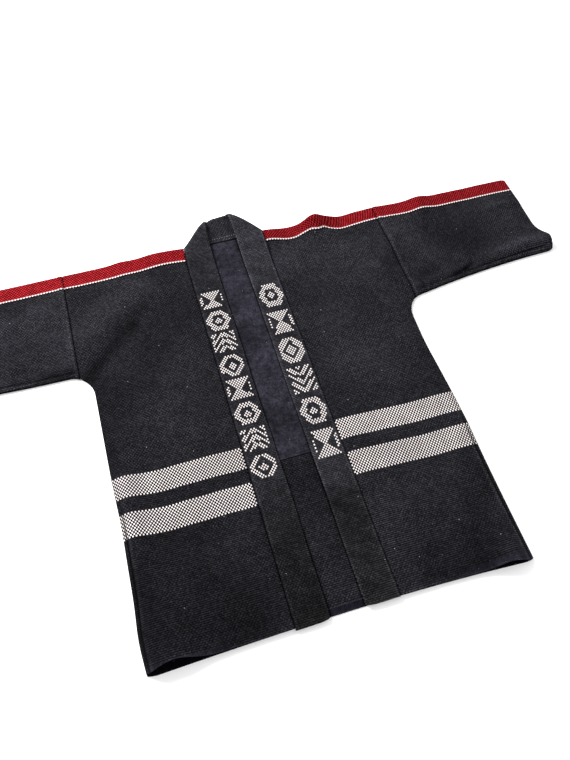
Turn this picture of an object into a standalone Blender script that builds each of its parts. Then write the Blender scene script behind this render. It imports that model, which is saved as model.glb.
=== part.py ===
"""A fireman's hanten: an open-fronted short coat of thick sashiko cloth, laid flat on its back.

Metres, +Z up. X runs across the shoulders, with the wearer's left sleeve towards +X, and Y runs from the hem
to the collar. The origin is the middle of the flat underside. Every piece is a cloth wall round a mid surface:
the body is cut in one, with both fronts folded over the shoulders from the back, each sleeve is folded in the
same way, the collar is one doubled band that turns a square corner on each side of the neck, and a lining covers
the inside of the back.
"""

import math

import bmesh
import bpy
import numpy as np

# Cut of the coat. "Up" is the distance from the hem line towards the collar.
BODY_WIDTH = 0.620
SHOULDER_UP = 0.782
HEM_RISE = 0.0015
HEM_SAG = {-1: 0.0048, 1: 0.0110}
HEM_CORNER = (0.016, 0.0028)
SLEEVE_SEAM_X = 0.331
CUFF_X = 0.646
COLLAR_WIDTH = 0.0565
COLLAR_SEAM_X = 0.085
LINING_HALF_WIDTH = 0.285
LINING_LOW_UP = 0.272
LINING_SHOULDER_UP = 0.766
ARMPIT_CENTRE = (0.352, 0.490)
ARMPIT_RADII = (0.042, 0.048)
UNDERARM_CUFF_UP = {-1: 0.558, 1: 0.567}
UNDERARM_BOW = {-1: -0.0040, 1: 0.0058}
CORNER_ROUND = 0.010
CORNER_DROP = 0.004
# How the side seams wander from straight. Columns: up, reach, outward shift.
SIDE_WAVES = {
    -1: ((0.230, 0.060, -0.0020), (0.050, 0.045, 0.0035)),
    1: ((0.430, 0.055, -0.0025), (0.260, 0.070, 0.0025)),
}

# Thicknesses and the clearances between pieces.
CLOTH = 0.0020
LINING_CLOTH = 0.0010
BAND = 0.0045
GAP = 0.0003

# The lay of the cloth: mid-surface heights over the floor and the roll of the folded edges.
BACK_MID = CLOTH / 2
LINING_MID = CLOTH + GAP + LINING_CLOTH / 2
EDGE_MID = CLOTH + GAP + CLOTH / 2
FRONT_MID = CLOTH + GAP + LINING_CLOTH + GAP + CLOTH / 2
BAND_MID = CLOTH + GAP + LINING_CLOTH + GAP + BAND / 2
LOFT = 0.0022
EDGE_ROLL = 0.0070
SHOULDER_ROLL = 0.0048
HALF_DEPTH = 0.41465

# Soft folds of the upper layer: each runs from one point to another, and is a ridge where its height is
# positive and a trough where it is negative. Columns: start x, start up, end x, end up, half width, height
# at the start, height at the end.
FOLDS = (
    (0.190, 0.790, 0.211, 0.748, 0.0195, 0.0298, 0.0),
    (0.211, 0.748, 0.236, 0.690, 0.0195, 0.0055, 0.0030),
    (0.220, 0.790, 0.217, 0.755, 0.0255, 0.0152, 0.0),
    (0.261, 0.790, 0.258, 0.740, 0.0195, -0.0060, 0.0),
    (0.085, 0.790, 0.095, 0.740, 0.036, 0.0122, 0.0010),
    (0.141, 0.790, 0.141, 0.735, 0.022, -0.0026, -0.0030),
    (0.437, 0.790, 0.429, 0.720, 0.024, 0.0103, 0.0010),
    (0.337, 0.790, 0.317, 0.700, 0.050, 0.0050, 0.0015),
    (-0.136, 0.790, -0.136, 0.730, 0.050, 0.0115, 0.0010),
    (-0.214, 0.790, -0.222, 0.740, 0.0235, 0.0059, 0.0010),
    (-0.300, 0.530, -0.200, 0.640, 0.018, -0.0040, -0.0025),
    (-0.300, 0.600, -0.190, 0.700, 0.030, 0.0050, 0.0030),
    (-0.255, 0.505, -0.170, 0.560, 0.028, 0.0035, 0.0015),
    (-0.345, 0.560, -0.338, 0.640, 0.010, 0.0020, 0.0010),
    (-0.452, 0.575, -0.364, 0.629, 0.020, 0.0025, 0.0015),
    (-0.540, 0.640, -0.343, 0.722, 0.026, 0.0025, 0.0020),
    (-0.610, 0.690, -0.480, 0.610, 0.024, -0.0020, -0.0015),
    (0.152, 0.725, 0.228, 0.660, 0.020, -0.0025, -0.0030),
    (0.128, 0.648, 0.251, 0.520, 0.022, -0.0020, -0.0030),
    (0.242, 0.680, 0.326, 0.560, 0.020, 0.0045, 0.0030),
    (0.179, 0.674, 0.235, 0.578, 0.016, 0.0030, 0.0020),
    (0.352, 0.695, 0.292, 0.627, 0.018, 0.0030, 0.0020),
    (0.427, 0.658, 0.570, 0.669, 0.030, -0.0030, -0.0025),
    (0.355, 0.553, 0.425, 0.568, 0.012, 0.0060, 0.0035),
    (0.440, 0.575, 0.478, 0.583, 0.012, -0.0045, -0.0035),
    (0.495, 0.578, 0.600, 0.592, 0.013, 0.0030, 0.0060),
    (0.552, 0.705, 0.633, 0.709, 0.012, 0.0020, 0.0035),
    (0.584, 0.650, 0.636, 0.622, 0.013, 0.0025, 0.0050),
    (-0.150, 0.420, -0.140, 0.240, 0.050, 0.0015, 0.0015),
    (0.165, 0.400, 0.180, 0.160, 0.055, 0.0018, 0.0018),
    (-0.284, 0.340, -0.290, 0.180, 0.018, 0.0050, 0.0055),
    (-0.293, 0.150, -0.296, 0.010, 0.012, 0.0020, 0.0045),
    (0.288, 0.180, 0.284, 0.010, 0.012, 0.0025, 0.0050),
)

# Mouths, where the upper layer stands off the lower one at an open edge. Columns: x, up, half width along
# the edge, reach into the cloth, lift, and how far the edge draws back.
HEM_MOUTHS = (
    (-0.268, 0.0, 0.038, 0.075, 0.0185, 0.0095),
    (0.270, 0.0, 0.029, 0.065, 0.0165, 0.0025),
)
CUFF_MOUTHS = (
    (CUFF_X, 0.5895, 0.024, 0.075, 0.0160),
    (-CUFF_X, 0.600, 0.034, 0.070, 0.0110),
)
# The lower corner of a cuff reaches further out: up below which it does, softness, reach into the sleeve,
# distance.
CUFF_REACH = (0.612, 0.006, 0.055, 0.0100)

# Fineness of the walls.
BODY_COLUMNS = 15
NECK_COLUMNS = 6
BODY_ROWS = 38
SLEEVE_COLUMNS = 18
SLEEVE_ROWS = 15
FOLD_STEPS = 6
BAND_SECTIONS = 22

# Collar: the radius of its square corners, and how far the back of the neck stands up in its middle and more
# towards the left.
CORNER_RADIUS = 0.0040
NECK_STAND = 0.0140
NECK_TILT = 0.0030
NECK_HUMP = {-1: 0.0, 1: 0.0060}
CORNER_FADE = 0.070
# The fold at a neck corner: how far its middle bows inward, and how far its tip is rounded off.
NECK_BOW = {-1: 0.0, 1: -0.0030}
NECK_TIP = 0.0055
# Where the cloth is drawn in beside the right neck corner: x, up, reach across, reach along, shift.
NECK_PULL = (-0.085, 0.800, 0.045, 0.050, 0.0035)
BAND_END_DROP = {-1: 0.0045, 1: 0.0025}
# Columns of the band from its seam to its folded edge: place across the band, half thickness.
BAND_SECTION = (
    (0.0000, 0.00130),
    (0.0018, 0.00200),
    (0.0060, 0.00225),
    (0.0280, 0.00225),
    (0.0500, 0.00225),
    (0.0540, 0.00200),
    (0.0558, 0.00130),
    (0.0565, 0.00050),
)

COLOURS = {
    "body": (0.022, 0.021, 0.026),
    "sleeve": (0.024, 0.023, 0.028),
    "collar": (0.030, 0.029, 0.032),
    "lining": (0.026, 0.025, 0.038),
}
ROUGHNESS = {"body": 0.95, "sleeve": 0.95, "collar": 0.92, "lining": 0.90}


def hem_up(x):
    """The hem line, which sags a little towards the side seams and ends in a small round corner."""
    sag = np.where(x < 0.0, HEM_SAG[-1], HEM_SAG[1])
    length, rise = HEM_CORNER
    corner = np.clip((np.abs(x) - BODY_WIDTH / 2 + length) / length, 0.0, 1.0) ** 2
    return HEM_RISE - sag * (x / (BODY_WIDTH / 2)) ** 2 + rise * corner


def side_x(up, side):
    """Half width of the body at a height: the side, then the round of the armpit up to the sleeve."""
    centre_x, centre_up = ARMPIT_CENTRE
    along = np.clip((up - centre_up) / ARMPIT_RADII[1], 0.0, 1.0)
    reach = centre_x - ARMPIT_RADII[0] * np.sqrt(1.0 - along**2)
    for wave_up, length, shift in SIDE_WAVES[side]:
        reach = reach + shift * np.exp(-(((up - wave_up) / length) ** 2))
    return np.minimum(reach, SLEEVE_SEAM_X - GAP / 2)


def underarm_up(x, side):
    """Lower edge of a sleeve: the rest of the armpit's round, the seam, and the cuff's round corner."""
    centre_x, centre_up = ARMPIT_CENTRE
    reach = np.abs(x)
    inward = np.clip((centre_x - reach) / ARMPIT_RADII[0], 0.0, 1.0)
    armpit = centre_up + ARMPIT_RADII[1] * np.sqrt(1.0 - inward**2)
    top = centre_up + ARMPIT_RADII[1]
    outward = np.clip((reach - centre_x) / (CUFF_X - centre_x), 0.0, 1.0)
    bow = 4.0 * UNDERARM_BOW[side] * outward * (1.0 - outward)
    corner = np.clip((reach - CUFF_X + CORNER_ROUND) / CORNER_ROUND, 0.0, 1.0) ** 2
    return armpit + (UNDERARM_CUFF_UP[side] - top) * outward + bow + CORNER_DROP * corner


def shoulder_up(x):
    """The shoulder fold, rounded off a little at the cuffs."""
    corner = np.clip((np.abs(x) - CUFF_X + CORNER_ROUND) / CORNER_ROUND, 0.0, 1.0) ** 2
    return SHOULDER_UP - 0.8 * CORNER_DROP * corner


def closed_seam(side):
    """Points along the side seam, the armpit and the underarm seam of one side."""
    ups = np.linspace(-0.02, ARMPIT_CENTRE[1] + 0.85 * ARMPIT_RADII[1], 90)
    reaches = np.linspace(SLEEVE_SEAM_X - 0.001, CUFF_X, 50)
    lower = np.stack([side_x(ups, side), ups], axis=1)
    upper = np.stack([reaches, underarm_up(reaches, side)], axis=1)
    return np.concatenate([lower, upper])


def seam_distance(x, up, side):
    """Distance in the plane from each point to the nearest closed seam."""
    seam = closed_seam(side)
    start = seam[:-1]
    run = seam[1:] - start
    across = np.abs(x)[..., None] - start[:, 0]
    along = up[..., None] - start[:, 1]
    share = (across * run[:, 0] + along * run[:, 1]) / np.maximum((run**2).sum(axis=1), 1e-15)
    share = np.clip(share, 0.0, 1.0)
    squared = (across - share * run[:, 0]) ** 2 + (along - share * run[:, 1]) ** 2
    return np.sqrt(squared.min(axis=-1))


def folds(x, up):
    """Sum of the soft folds at each point."""
    total = np.zeros_like(x)
    for start_x, start_up, end_x, end_up, width, first, last in FOLDS:
        run_x = end_x - start_x
        run_up = end_up - start_up
        share = ((x - start_x) * run_x + (up - start_up) * run_up) / (run_x**2 + run_up**2)
        share = np.clip(share, 0.0, 1.0)
        away = (x - start_x - share * run_x) ** 2 + (up - start_up - share * run_up) ** 2
        total += (first + (last - first) * share) * np.exp(-away / width**2)
    return total


def mouths(x, up):
    """Lift of the upper layer at the open corners of the hem and at the cuffs."""
    total = np.zeros_like(x)
    for mouth_x, mouth_up, width, reach, lift, _ in HEM_MOUTHS:
        total += lift * np.exp(-(((x - mouth_x) / width) ** 2) - ((up - mouth_up) / reach) ** 2)
    for mouth_x, mouth_up, width, reach, lift in CUFF_MOUTHS:
        total += lift * np.exp(-(((x - mouth_x) / reach) ** 2) - ((up - mouth_up) / width) ** 2)
    return total


def upper_height(x, up, side):
    """Height of the upper layer's mid surface: lofted, but down on the lower layer at the closed seams."""
    wave = 0.0006 * np.sin(21.0 * x + 4.0 * up) + 0.0005 * np.sin(17.0 * up - 9.0 * x)
    inner = np.maximum(LOFT + wave + folds(x, up), 0.0) + mouths(x, up)
    roll = 1.0 - np.exp(-seam_distance(x, up, side) / EDGE_ROLL)
    return EDGE_MID + (FRONT_MID - EDGE_MID + inner) * roll


def cuff_reach(x, up, side):
    """How far the lower corner of a cuff stands out beyond its upper one."""
    corner_up, softness, reach, out = CUFF_REACH
    near = np.clip((np.abs(x) - CUFF_X + reach) / reach, 0.0, 1.0)
    return side * out * near**2 / (1.0 + np.exp((up - corner_up) / softness))


def front_hem_up(x):
    """Hem of the upper layer, which draws back where it stands off the lower one."""
    drawn = hem_up(x)
    for mouth_x, _, width, _, _, back in HEM_MOUTHS:
        drawn = drawn + back * np.exp(-(((x - mouth_x) / width) ** 2))
    return drawn


def neck_pull(x, up):
    """How far the cloth beside the right neck corner is drawn in."""
    pull_x, pull_up, across, along, shift = NECK_PULL
    return shift * np.exp(-(((x - pull_x) / across) ** 2) - ((up - pull_up) / along) ** 2)


def at(x, up, height):
    """Points of the model for places on the coat."""
    return np.stack([x + neck_pull(x, up), up - HALF_DEPTH, height], axis=-1)


def surface_normals(mid, square_columns):
    """Unit normals of a grid of points, kept square to X along the given columns, which lie on seams."""
    normal = np.cross(np.gradient(mid, axis=0), np.gradient(mid, axis=1))
    normal[:, square_columns, 0] = 0.0
    length = np.linalg.norm(normal, axis=-1, keepdims=True)
    return normal / np.maximum(length, 1e-12)


def wall_points(mesh, points, present):
    """Vertices for those points of a grid that a present cell uses."""
    rows, columns = points.shape[:2]
    used = np.zeros((rows, columns), bool)
    for down in (0, 1):
        for right in (0, 1):
            used[down : rows - 1 + down, right : columns - 1 + right] |= present
    places = zip(*np.nonzero(used))
    return {(int(i), int(j)): mesh.verts.new(points[i, j]) for i, j in places}


def make_wall(name, mid, half, look, present=None, square_columns=(0, -1)):
    """One closed cloth wall: a grid of mid points moved out by the half thickness on both faces.

    The mask present holds one value for each cell of the grid. Its cells get a face above and a face below, and
    every edge with a cell on one side alone gets a rim.
    """
    rows, columns = mid.shape[:2]
    if present is None:
        present = np.ones((rows - 1, columns - 1), bool)
    offset = surface_normals(mid, list(square_columns)) * half[..., None]
    mesh = bmesh.new()
    outer = wall_points(mesh, mid + offset, present)
    inner = wall_points(mesh, mid - offset, present)
    border = {}
    for i, j in zip(*np.nonzero(present)):
        i, j = int(i), int(j)
        corners = ((i, j), (i + 1, j), (i + 1, j + 1), (i, j + 1))
        mesh.faces.new([outer[c] for c in corners])
        mesh.faces.new([inner[c] for c in reversed(corners)])
        for edge in zip(corners, corners[1:] + corners[:1]):
            if border.pop(edge[::-1], None) is None:
                border[edge] = True
    for first, second in border:
        mesh.faces.new([outer[second], outer[first], inner[first], inner[second]])
    bmesh.ops.recalc_face_normals(mesh, faces=mesh.faces)
    data = bpy.data.meshes.new(name)
    mesh.to_mesh(data)
    mesh.free()
    data.shade_smooth()
    data.set_sharp_from_angle(angle=math.radians(50.0))
    piece = bpy.data.objects.new(name, data)
    bpy.context.scene.collection.objects.link(piece)
    piece.data.materials.append(cloth_material(name, look))
    return piece


def cloth_material(name, look):
    """Matt cloth in the colour of one kind of piece."""
    material = bpy.data.materials.new(name + "_cloth")
    material.use_nodes = True
    shader = material.node_tree.nodes["Principled BSDF"]
    shader.inputs["Base Color"].default_value = (*COLOURS[look], 1.0)
    shader.inputs["Roughness"].default_value = ROUGHNESS[look]
    shader.inputs["Metallic"].default_value = 0.0
    return material


def eased(count, near_end):
    """Places from 0 to 1 that crowd towards the end."""
    places = np.linspace(0.0, 1.0, count)
    return places + near_end * np.sin(np.pi * places) / np.pi


def shoulder_arc(x, side):
    """Mid points of the roll over the shoulder, from the lower layer to the upper one."""
    top = shoulder_up(x) - CLOTH / 2
    high = upper_height(x, top - SHOULDER_ROLL, side)
    middle = (BACK_MID + high) / 2
    rise = (high - BACK_MID) / 2
    turn = np.linspace(-np.pi / 2, np.pi / 2, FOLD_STEPS + 1)[:, None]
    return at(x + 0.0 * turn, top - SHOULDER_ROLL * (1.0 - np.cos(turn)), middle + rise * np.sin(turn))


def body_row(share, upper):
    """One row of the body, from the right side seam to the left one, at a share of the way from hem to roll."""
    seam_x = COLLAR_SEAM_X + GAP
    roll_start = SHOULDER_UP - CLOTH / 2 - SHOULDER_ROLL
    across = eased(BODY_COLUMNS + 1, 0.35)
    neck = np.linspace(-seam_x, seam_x, NECK_COLUMNS + 1)[1:-1]
    halves = {}
    for side in (-1, 1):
        up = share * roll_start * np.ones_like(across)
        for _ in range(3):
            x = side * (seam_x + across * (side_x(up, side) - seam_x))
            low = front_hem_up(x) if upper else hem_up(x)
            up = low + share * (roll_start - low)
        height = upper_height(x, up, side) if upper else np.full_like(x, BACK_MID)
        halves[side] = at(x, up, height)
    if upper:
        middle = np.where(neck[:, None] < 0.0, halves[-1][:1], halves[1][:1])
    else:
        low = hem_up(neck)
        middle = at(neck, low + share * (SHOULDER_UP - GAP - low), np.full_like(neck, BACK_MID))
    return np.concatenate([halves[-1][::-1], middle, halves[1]])


def body_arc():
    """Rows of the body's roll over the shoulders, with nothing in the neck opening."""
    seam_x = COLLAR_SEAM_X + GAP
    roll_start = SHOULDER_UP - CLOTH / 2 - SHOULDER_ROLL
    across = eased(BODY_COLUMNS + 1, 0.35)
    halves = {}
    for side in (-1, 1):
        x = side * (seam_x + across * (side_x(roll_start, side) - seam_x))
        halves[side] = shoulder_arc(x[None, :], side)[1:-1]
    neck = np.linspace(-seam_x, seam_x, NECK_COLUMNS + 1)[1:-1, None]
    middle = np.where(neck < 0.0, halves[-1][:, :1], halves[1][:, :1])
    return np.concatenate([halves[-1][:, ::-1], middle, halves[1]], axis=1)


def make_body(name):
    """The body, cut in one: the back, the shoulder folds and the fronts, whose inner edges join the collar."""
    armpit = np.linspace(0.62, 0.69, 7)
    back_shares = np.concatenate([np.linspace(0.0, 0.60, 7), armpit, np.linspace(0.74, 1.0, 4)])
    front_shares = np.linspace(1.0, 0.0, BODY_ROWS + 1)
    back = np.stack([body_row(share, False) for share in back_shares])
    front = np.stack([body_row(share, True) for share in front_shares])
    mid = np.concatenate([back, body_arc(), front])
    present = np.ones((len(mid) - 1, mid.shape[1] - 1), bool)
    present[len(back) - 1 :, BODY_COLUMNS : BODY_COLUMNS + NECK_COLUMNS] = False
    seams = (0, BODY_COLUMNS, BODY_COLUMNS + NECK_COLUMNS, -1)
    return make_wall(name, mid, np.full(mid.shape[:2], CLOTH / 2), "body", present, seams)


def make_sleeve(name, side):
    """A sleeve cut in one, folded at the shoulder, with its two edges meeting in the underarm seam."""
    x = side * (SLEEVE_SEAM_X + GAP / 2 + eased(SLEEVE_COLUMNS + 1, 0.2) * (CUFF_X - SLEEVE_SEAM_X))
    start = underarm_up(x, side)
    end = shoulder_up(x) - CLOTH / 2 - SHOULDER_ROLL
    back_shares = np.linspace(0.0, 1.0, 5)[:, None]
    front_shares = np.linspace(1.0, 0.0, SLEEVE_ROWS + 1)[:, None] ** 1.25
    back_up = start + back_shares * (end - start)
    back_x = x + cuff_reach(x + 0.0 * back_up, back_up, side)
    back = at(back_x, back_up, np.full_like(back_up, BACK_MID))
    front_up = start + front_shares * (end - start)
    wide_x = x + 0.0 * front_up
    height = upper_height(wide_x, front_up, side)
    front = at(wide_x + cuff_reach(wide_x, front_up, side), front_up, height)
    arc = shoulder_arc(x[None, :], side)[1:-1]
    mid = np.concatenate([back, arc, front])
    return make_wall(name, mid, np.full(mid.shape[:2], CLOTH / 2), "sleeve")


def half_collar(side):
    """Mid points of half the collar, from the hem end to the middle of the neck, one row for each section.

    The band is a straight strip: s runs along it and t across it from its seam. It goes up the front, turns a
    square corner by folding over along a diagonal, and passes under itself to run along the back of the neck.
    """
    t = np.array([column[0] for column in BAND_SECTION])
    corner_s = SHOULDER_UP
    bend = CORNER_RADIUS * np.pi / 2
    low = HEM_RISE - BAND_END_DROP[side]
    bow = NECK_BOW[side] * np.sin(np.pi * t / COLLAR_WIDTH) + NECK_TIP * (t / COLLAR_WIDTH) ** 8
    inward = bow / math.sqrt(2.0)

    def neck_height(reach, hump=1.0):
        """Height of the standing neck at a reach from the middle of the coat."""
        stand = NECK_STAND + side * NECK_TILT * np.clip(reach / 0.03, 0.0, 1.0)
        lift = NECK_HUMP[side] * hump * (1.0 - 0.6 * t / COLLAR_WIDTH)
        return BAND / 2 + stand * (t / COLLAR_WIDTH) ** 1.3 + lift

    sections = []
    for share in np.linspace(0.0, 1.0, BAND_SECTIONS + 1)[:-1]:
        seam_s = low + share * (corner_s - math.sqrt(2.0) * bend - low)
        s = seam_s + share**3 * t
        before = corner_s + t - s
        shift = inward * np.exp(-((before / 0.030) ** 2))
        wave = 0.0004 * (1.0 + np.sin(38.0 * s + side)) * (1.0 - share**4)
        height = neck_height(0.03) + 2.0 * CORNER_RADIUS - BAND_MID
        height = BAND_MID + wave + height * np.exp(-((before / CORNER_FADE) ** 2))
        sections.append((t + shift, s - shift, height))
    for turn in np.linspace(-np.pi / 2, np.pi / 2, FOLD_STEPS + 3):
        u = CORNER_RADIUS * turn
        v = math.sqrt(2.0) * t + u
        out = -bend + CORNER_RADIUS * math.cos(turn) - bow
        x = (v - out) / math.sqrt(2.0)
        up = corner_s + (v + out) / math.sqrt(2.0)
        sections.append((x, up, neck_height(0.03) + CORNER_RADIUS * (1.0 - math.sin(turn))))
    last_s = math.sqrt(2.0) * bend
    for share in (0.35, 0.70, 1.0):
        s = (last_s + t) * (1.0 - share) + COLLAR_SEAM_X * share
        shift = inward * (1.0 - share) ** 4
        height = neck_height(COLLAR_SEAM_X - s, (1.0 - share) ** 2)
        sections.append((s + shift, corner_s + t - shift, height))
    return [at(side * (COLLAR_SEAM_X - across), up, height) for across, up, height in sections]


def make_collar(name):
    """The whole band, from the right hem end round the neck to the left hem end."""
    right = half_collar(-1)
    left = half_collar(1)
    mid = np.stack(right + left[-2::-1])
    half = np.array([column[1] for column in BAND_SECTION])
    return make_wall(name, mid, np.broadcast_to(half, mid.shape[:2]), "collar")


def make_lining(name):
    """The lining of the upper back, which shows between the fronts and ends in a hem."""
    x = np.array([-1.0, -0.66, -0.33, -0.25, 0.25, 0.33, 0.66, 1.0]) * LINING_HALF_WIDTH
    top = np.where(np.abs(x) < COLLAR_SEAM_X, SHOULDER_UP - GAP, LINING_SHOULDER_UP)
    shares = np.linspace(0.0, 1.0, 4)[:, None]
    up = LINING_LOW_UP + shares * (top - LINING_LOW_UP)
    mid = at(x + 0.0 * up, up, np.full_like(up, LINING_MID))
    return make_wall(name, mid, np.full(mid.shape[:2], LINING_CLOTH / 2), "lining")


def clear_scene():
    """Start from an empty scene."""
    for thing in list(bpy.data.objects):
        bpy.data.objects.remove(thing)


def main():
    clear_scene()
    coat = bpy.data.objects.new("hanten", None)
    bpy.context.scene.collection.objects.link(coat)
    pieces = (
        make_body("body"),
        make_sleeve("sleeve_right", -1),
        make_sleeve("sleeve_left", 1),
        make_collar("collar"),
        make_lining("lining"),
    )
    for piece in pieces:
        piece.parent = coat


main()
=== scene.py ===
import math
import operator
from functools import reduce

import bpy
import numpy as np
from mathutils import Matrix, Vector


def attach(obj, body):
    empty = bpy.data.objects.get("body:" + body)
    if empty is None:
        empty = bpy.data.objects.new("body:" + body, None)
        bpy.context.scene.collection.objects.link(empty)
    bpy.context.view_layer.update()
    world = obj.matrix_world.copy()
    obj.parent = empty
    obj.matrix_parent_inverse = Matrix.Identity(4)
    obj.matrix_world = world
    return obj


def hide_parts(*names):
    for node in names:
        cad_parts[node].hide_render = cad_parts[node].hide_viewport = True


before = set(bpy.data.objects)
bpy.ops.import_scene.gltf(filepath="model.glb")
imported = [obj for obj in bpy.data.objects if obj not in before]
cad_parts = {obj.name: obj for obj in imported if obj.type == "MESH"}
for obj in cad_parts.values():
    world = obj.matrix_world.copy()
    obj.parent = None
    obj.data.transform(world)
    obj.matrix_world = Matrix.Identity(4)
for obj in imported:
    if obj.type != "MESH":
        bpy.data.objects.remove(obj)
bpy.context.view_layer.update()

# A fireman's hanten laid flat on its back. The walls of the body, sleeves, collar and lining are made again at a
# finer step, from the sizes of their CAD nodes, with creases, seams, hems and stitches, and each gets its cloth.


def from_mm(lengths, *rows):
    """Rows of a table whose first columns, given in millimetres, become metres."""
    return [tuple(value / 1000 for value in row[:lengths]) + row[lengths:] for row in rows]


# Cut of the coat, in metres. "Up" is the distance from the hem line towards the collar.
BODY_WIDTH = 0.620
SHOULDER_UP = 0.782
HEM_RISE = 0.0015
HEM_SAG = {-1: 0.0048, 1: 0.0110}
HEM_CORNER = (0.016, 0.0028)
SLEEVE_SEAM_X = 0.331
CUFF_X = 0.646
COLLAR_WIDTH = 0.0565
COLLAR_SEAM_X = 0.085
LINING_HALF_WIDTH = 0.285
LINING_LOW_UP = 0.272
LINING_SHOULDER_UP = 0.766
ARMPIT_CENTRE = (0.352, 0.490)
ARMPIT_RADII = (0.042, 0.048)
UNDERARM_CUFF_UP = {-1: 0.558, 1: 0.567}
UNDERARM_BOW = {-1: -0.0040, 1: 0.0058}
CORNER_ROUND = 0.010
CORNER_DROP = 0.004
# How the side seams wander from straight. Columns: up, reach, outward shift.
SIDE_WAVES = {
    -1: ((0.230, 0.060, -0.0020), (0.050, 0.045, 0.0035)),
    1: ((0.430, 0.055, -0.0025), (0.260, 0.070, 0.0025)),
}

# Thicknesses, clearances and the lay of the cloth.
CLOTH = 0.0020
LINING_CLOTH = 0.0010
BAND = 0.0045
GAP = 0.0003
BACK_MID = CLOTH / 2
LINING_MID = CLOTH + GAP + LINING_CLOTH / 2
EDGE_MID = CLOTH + GAP + CLOTH / 2
FRONT_MID = CLOTH + GAP + LINING_CLOTH + GAP + CLOTH / 2
BAND_MID = CLOTH + GAP + LINING_CLOTH + GAP + BAND / 2
LOFT = 0.0022
EDGE_ROLL = 0.0070
SHOULDER_ROLL = 0.0048
HALF_DEPTH = 0.41465

# Soft folds of the upper layer, in millimetres. Columns: start x, start up, end x, end up, half width, height at
# the start, height at the end.
FOLDS = from_mm(
    7,
    (190, 790, 211, 748, 19.5, 29.8, 0),
    (211, 748, 236, 690, 19.5, 5.5, 3),
    (220, 790, 217, 755, 25.5, 15.2, 0),
    (261, 790, 258, 740, 19.5, -6, 0),
    (85, 790, 95, 740, 36, 12.2, 1),
    (141, 790, 141, 735, 22, -2.6, -3),
    (437, 790, 429, 720, 24, 10.3, 1),
    (337, 790, 317, 700, 50, 5, 1.5),
    (-136, 790, -136, 730, 50, 11.5, 1),
    (-214, 790, -222, 740, 23.5, 5.9, 1),
    (-300, 530, -200, 640, 18, -4, -2.5),
    (-300, 600, -190, 700, 30, 5, 3),
    (-255, 505, -170, 560, 28, 3.5, 1.5),
    (-345, 560, -338, 640, 10, 2, 1),
    (-452, 575, -364, 629, 20, 2.5, 1.5),
    (-540, 640, -343, 722, 26, 2.5, 2),
    (-610, 690, -480, 610, 24, -2, -1.5),
    (152, 725, 228, 660, 20, -2.5, -3),
    (128, 648, 251, 520, 22, -2, -3),
    (242, 680, 326, 560, 20, 4.5, 3),
    (179, 674, 235, 578, 16, 3, 2),
    (352, 695, 292, 627, 18, 3, 2),
    (427, 658, 570, 669, 30, -3, -2.5),
    (355, 553, 425, 568, 12, 6, 3.5),
    (440, 575, 478, 583, 12, -4.5, -3.5),
    (495, 578, 600, 592, 13, 3, 6),
    (552, 705, 633, 709, 12, 2, 3.5),
    (584, 650, 636, 622, 13, 2.5, 5),
    (-150, 420, -140, 240, 50, 1.5, 1.5),
    (165, 400, 180, 160, 55, 1.8, 1.8),
    (-284, 340, -290, 180, 18, 5, 5.5),
    (-293, 150, -296, 10, 12, 2, 4.5),
    (288, 180, 284, 10, 12, 2.5, 5),
)

# Narrow creases on top of the soft folds, in the same columns and in millimetres.
CREASES = from_mm(
    7,
    (-322, 539, -306, 548, 5, 1.2, 0.6),
    (-310, 521, -262, 562, 6, -1.2, -0.6),
    (-262, 562, -206, 628, 8, -0.9, -0.4),
    (-294, 657, -236, 676, 7, 0.9, 0.5),
    (-236, 676, -179, 699, 9, 0.8, 0.4),
    (-318, 600, -270, 622, 7, 0.7, 0.4),
    (-300, 470, -262, 478, 8, 0.7, 0.3),
    (-230, 742, -150, 722, 9, -0.6, -0.4),
    (-452, 575, -408, 602, 7, 0.8, 0.5),
    (-408, 602, -364, 629, 7, 0.6, 0.4),
    (-452, 679, -398, 701, 8, 0.8, 0.6),
    (-398, 701, -343, 722, 9, 0.7, 0.3),
    (-400, 560, -360, 566, 6, -0.7, -0.4),
    (152, 725, 186, 692, 8, -0.8, -0.5),
    (186, 692, 228, 660, 9, -0.7, -0.4),
    (128, 648, 168, 610, 9, -0.7, -0.5),
    (191, 587, 251, 520, 10, -0.8, -0.5),
    (242, 670, 285, 610, 8, 0.9, 0.7),
    (285, 610, 326, 556, 7, 0.9, 0.6),
    (179, 674, 206, 622, 7, 0.7, 0.4),
    (352, 695, 322, 662, 8, 0.7, 0.5),
    (322, 662, 292, 627, 8, 0.6, 0.4),
    (300, 735, 262, 706, 9, 0.7, 0.4),
    (398, 604, 450, 625, 9, 0.7, 0.4),
    (360, 741, 420, 724, 10, 0.7, 0.5),
    (470, 705, 545, 716, 10, 0.6, 0.4),
    (430, 564, 473, 575, 6, -1, -0.8),
    (552, 705, 592, 709, 6, 0.8, 0.8),
    (592, 709, 633, 709, 6, 0.8, 0.6),
    (584, 650, 610, 638, 6, 0.9, 0.9),
    (610, 638, 636, 622, 6, 0.9, 0.6),
    (540, 600, 590, 622, 8, -0.8, -0.6),
    (-130, 148, -96, 152, 8, 0.5, 0.3),
    (110, 132, 160, 120, 10, 0.5, 0.3),
    (230, 90, 282, 66, 8, 0.6, 0.6),
    (-276, 112, -232, 86, 9, 0.6, 0.4),
)

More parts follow.
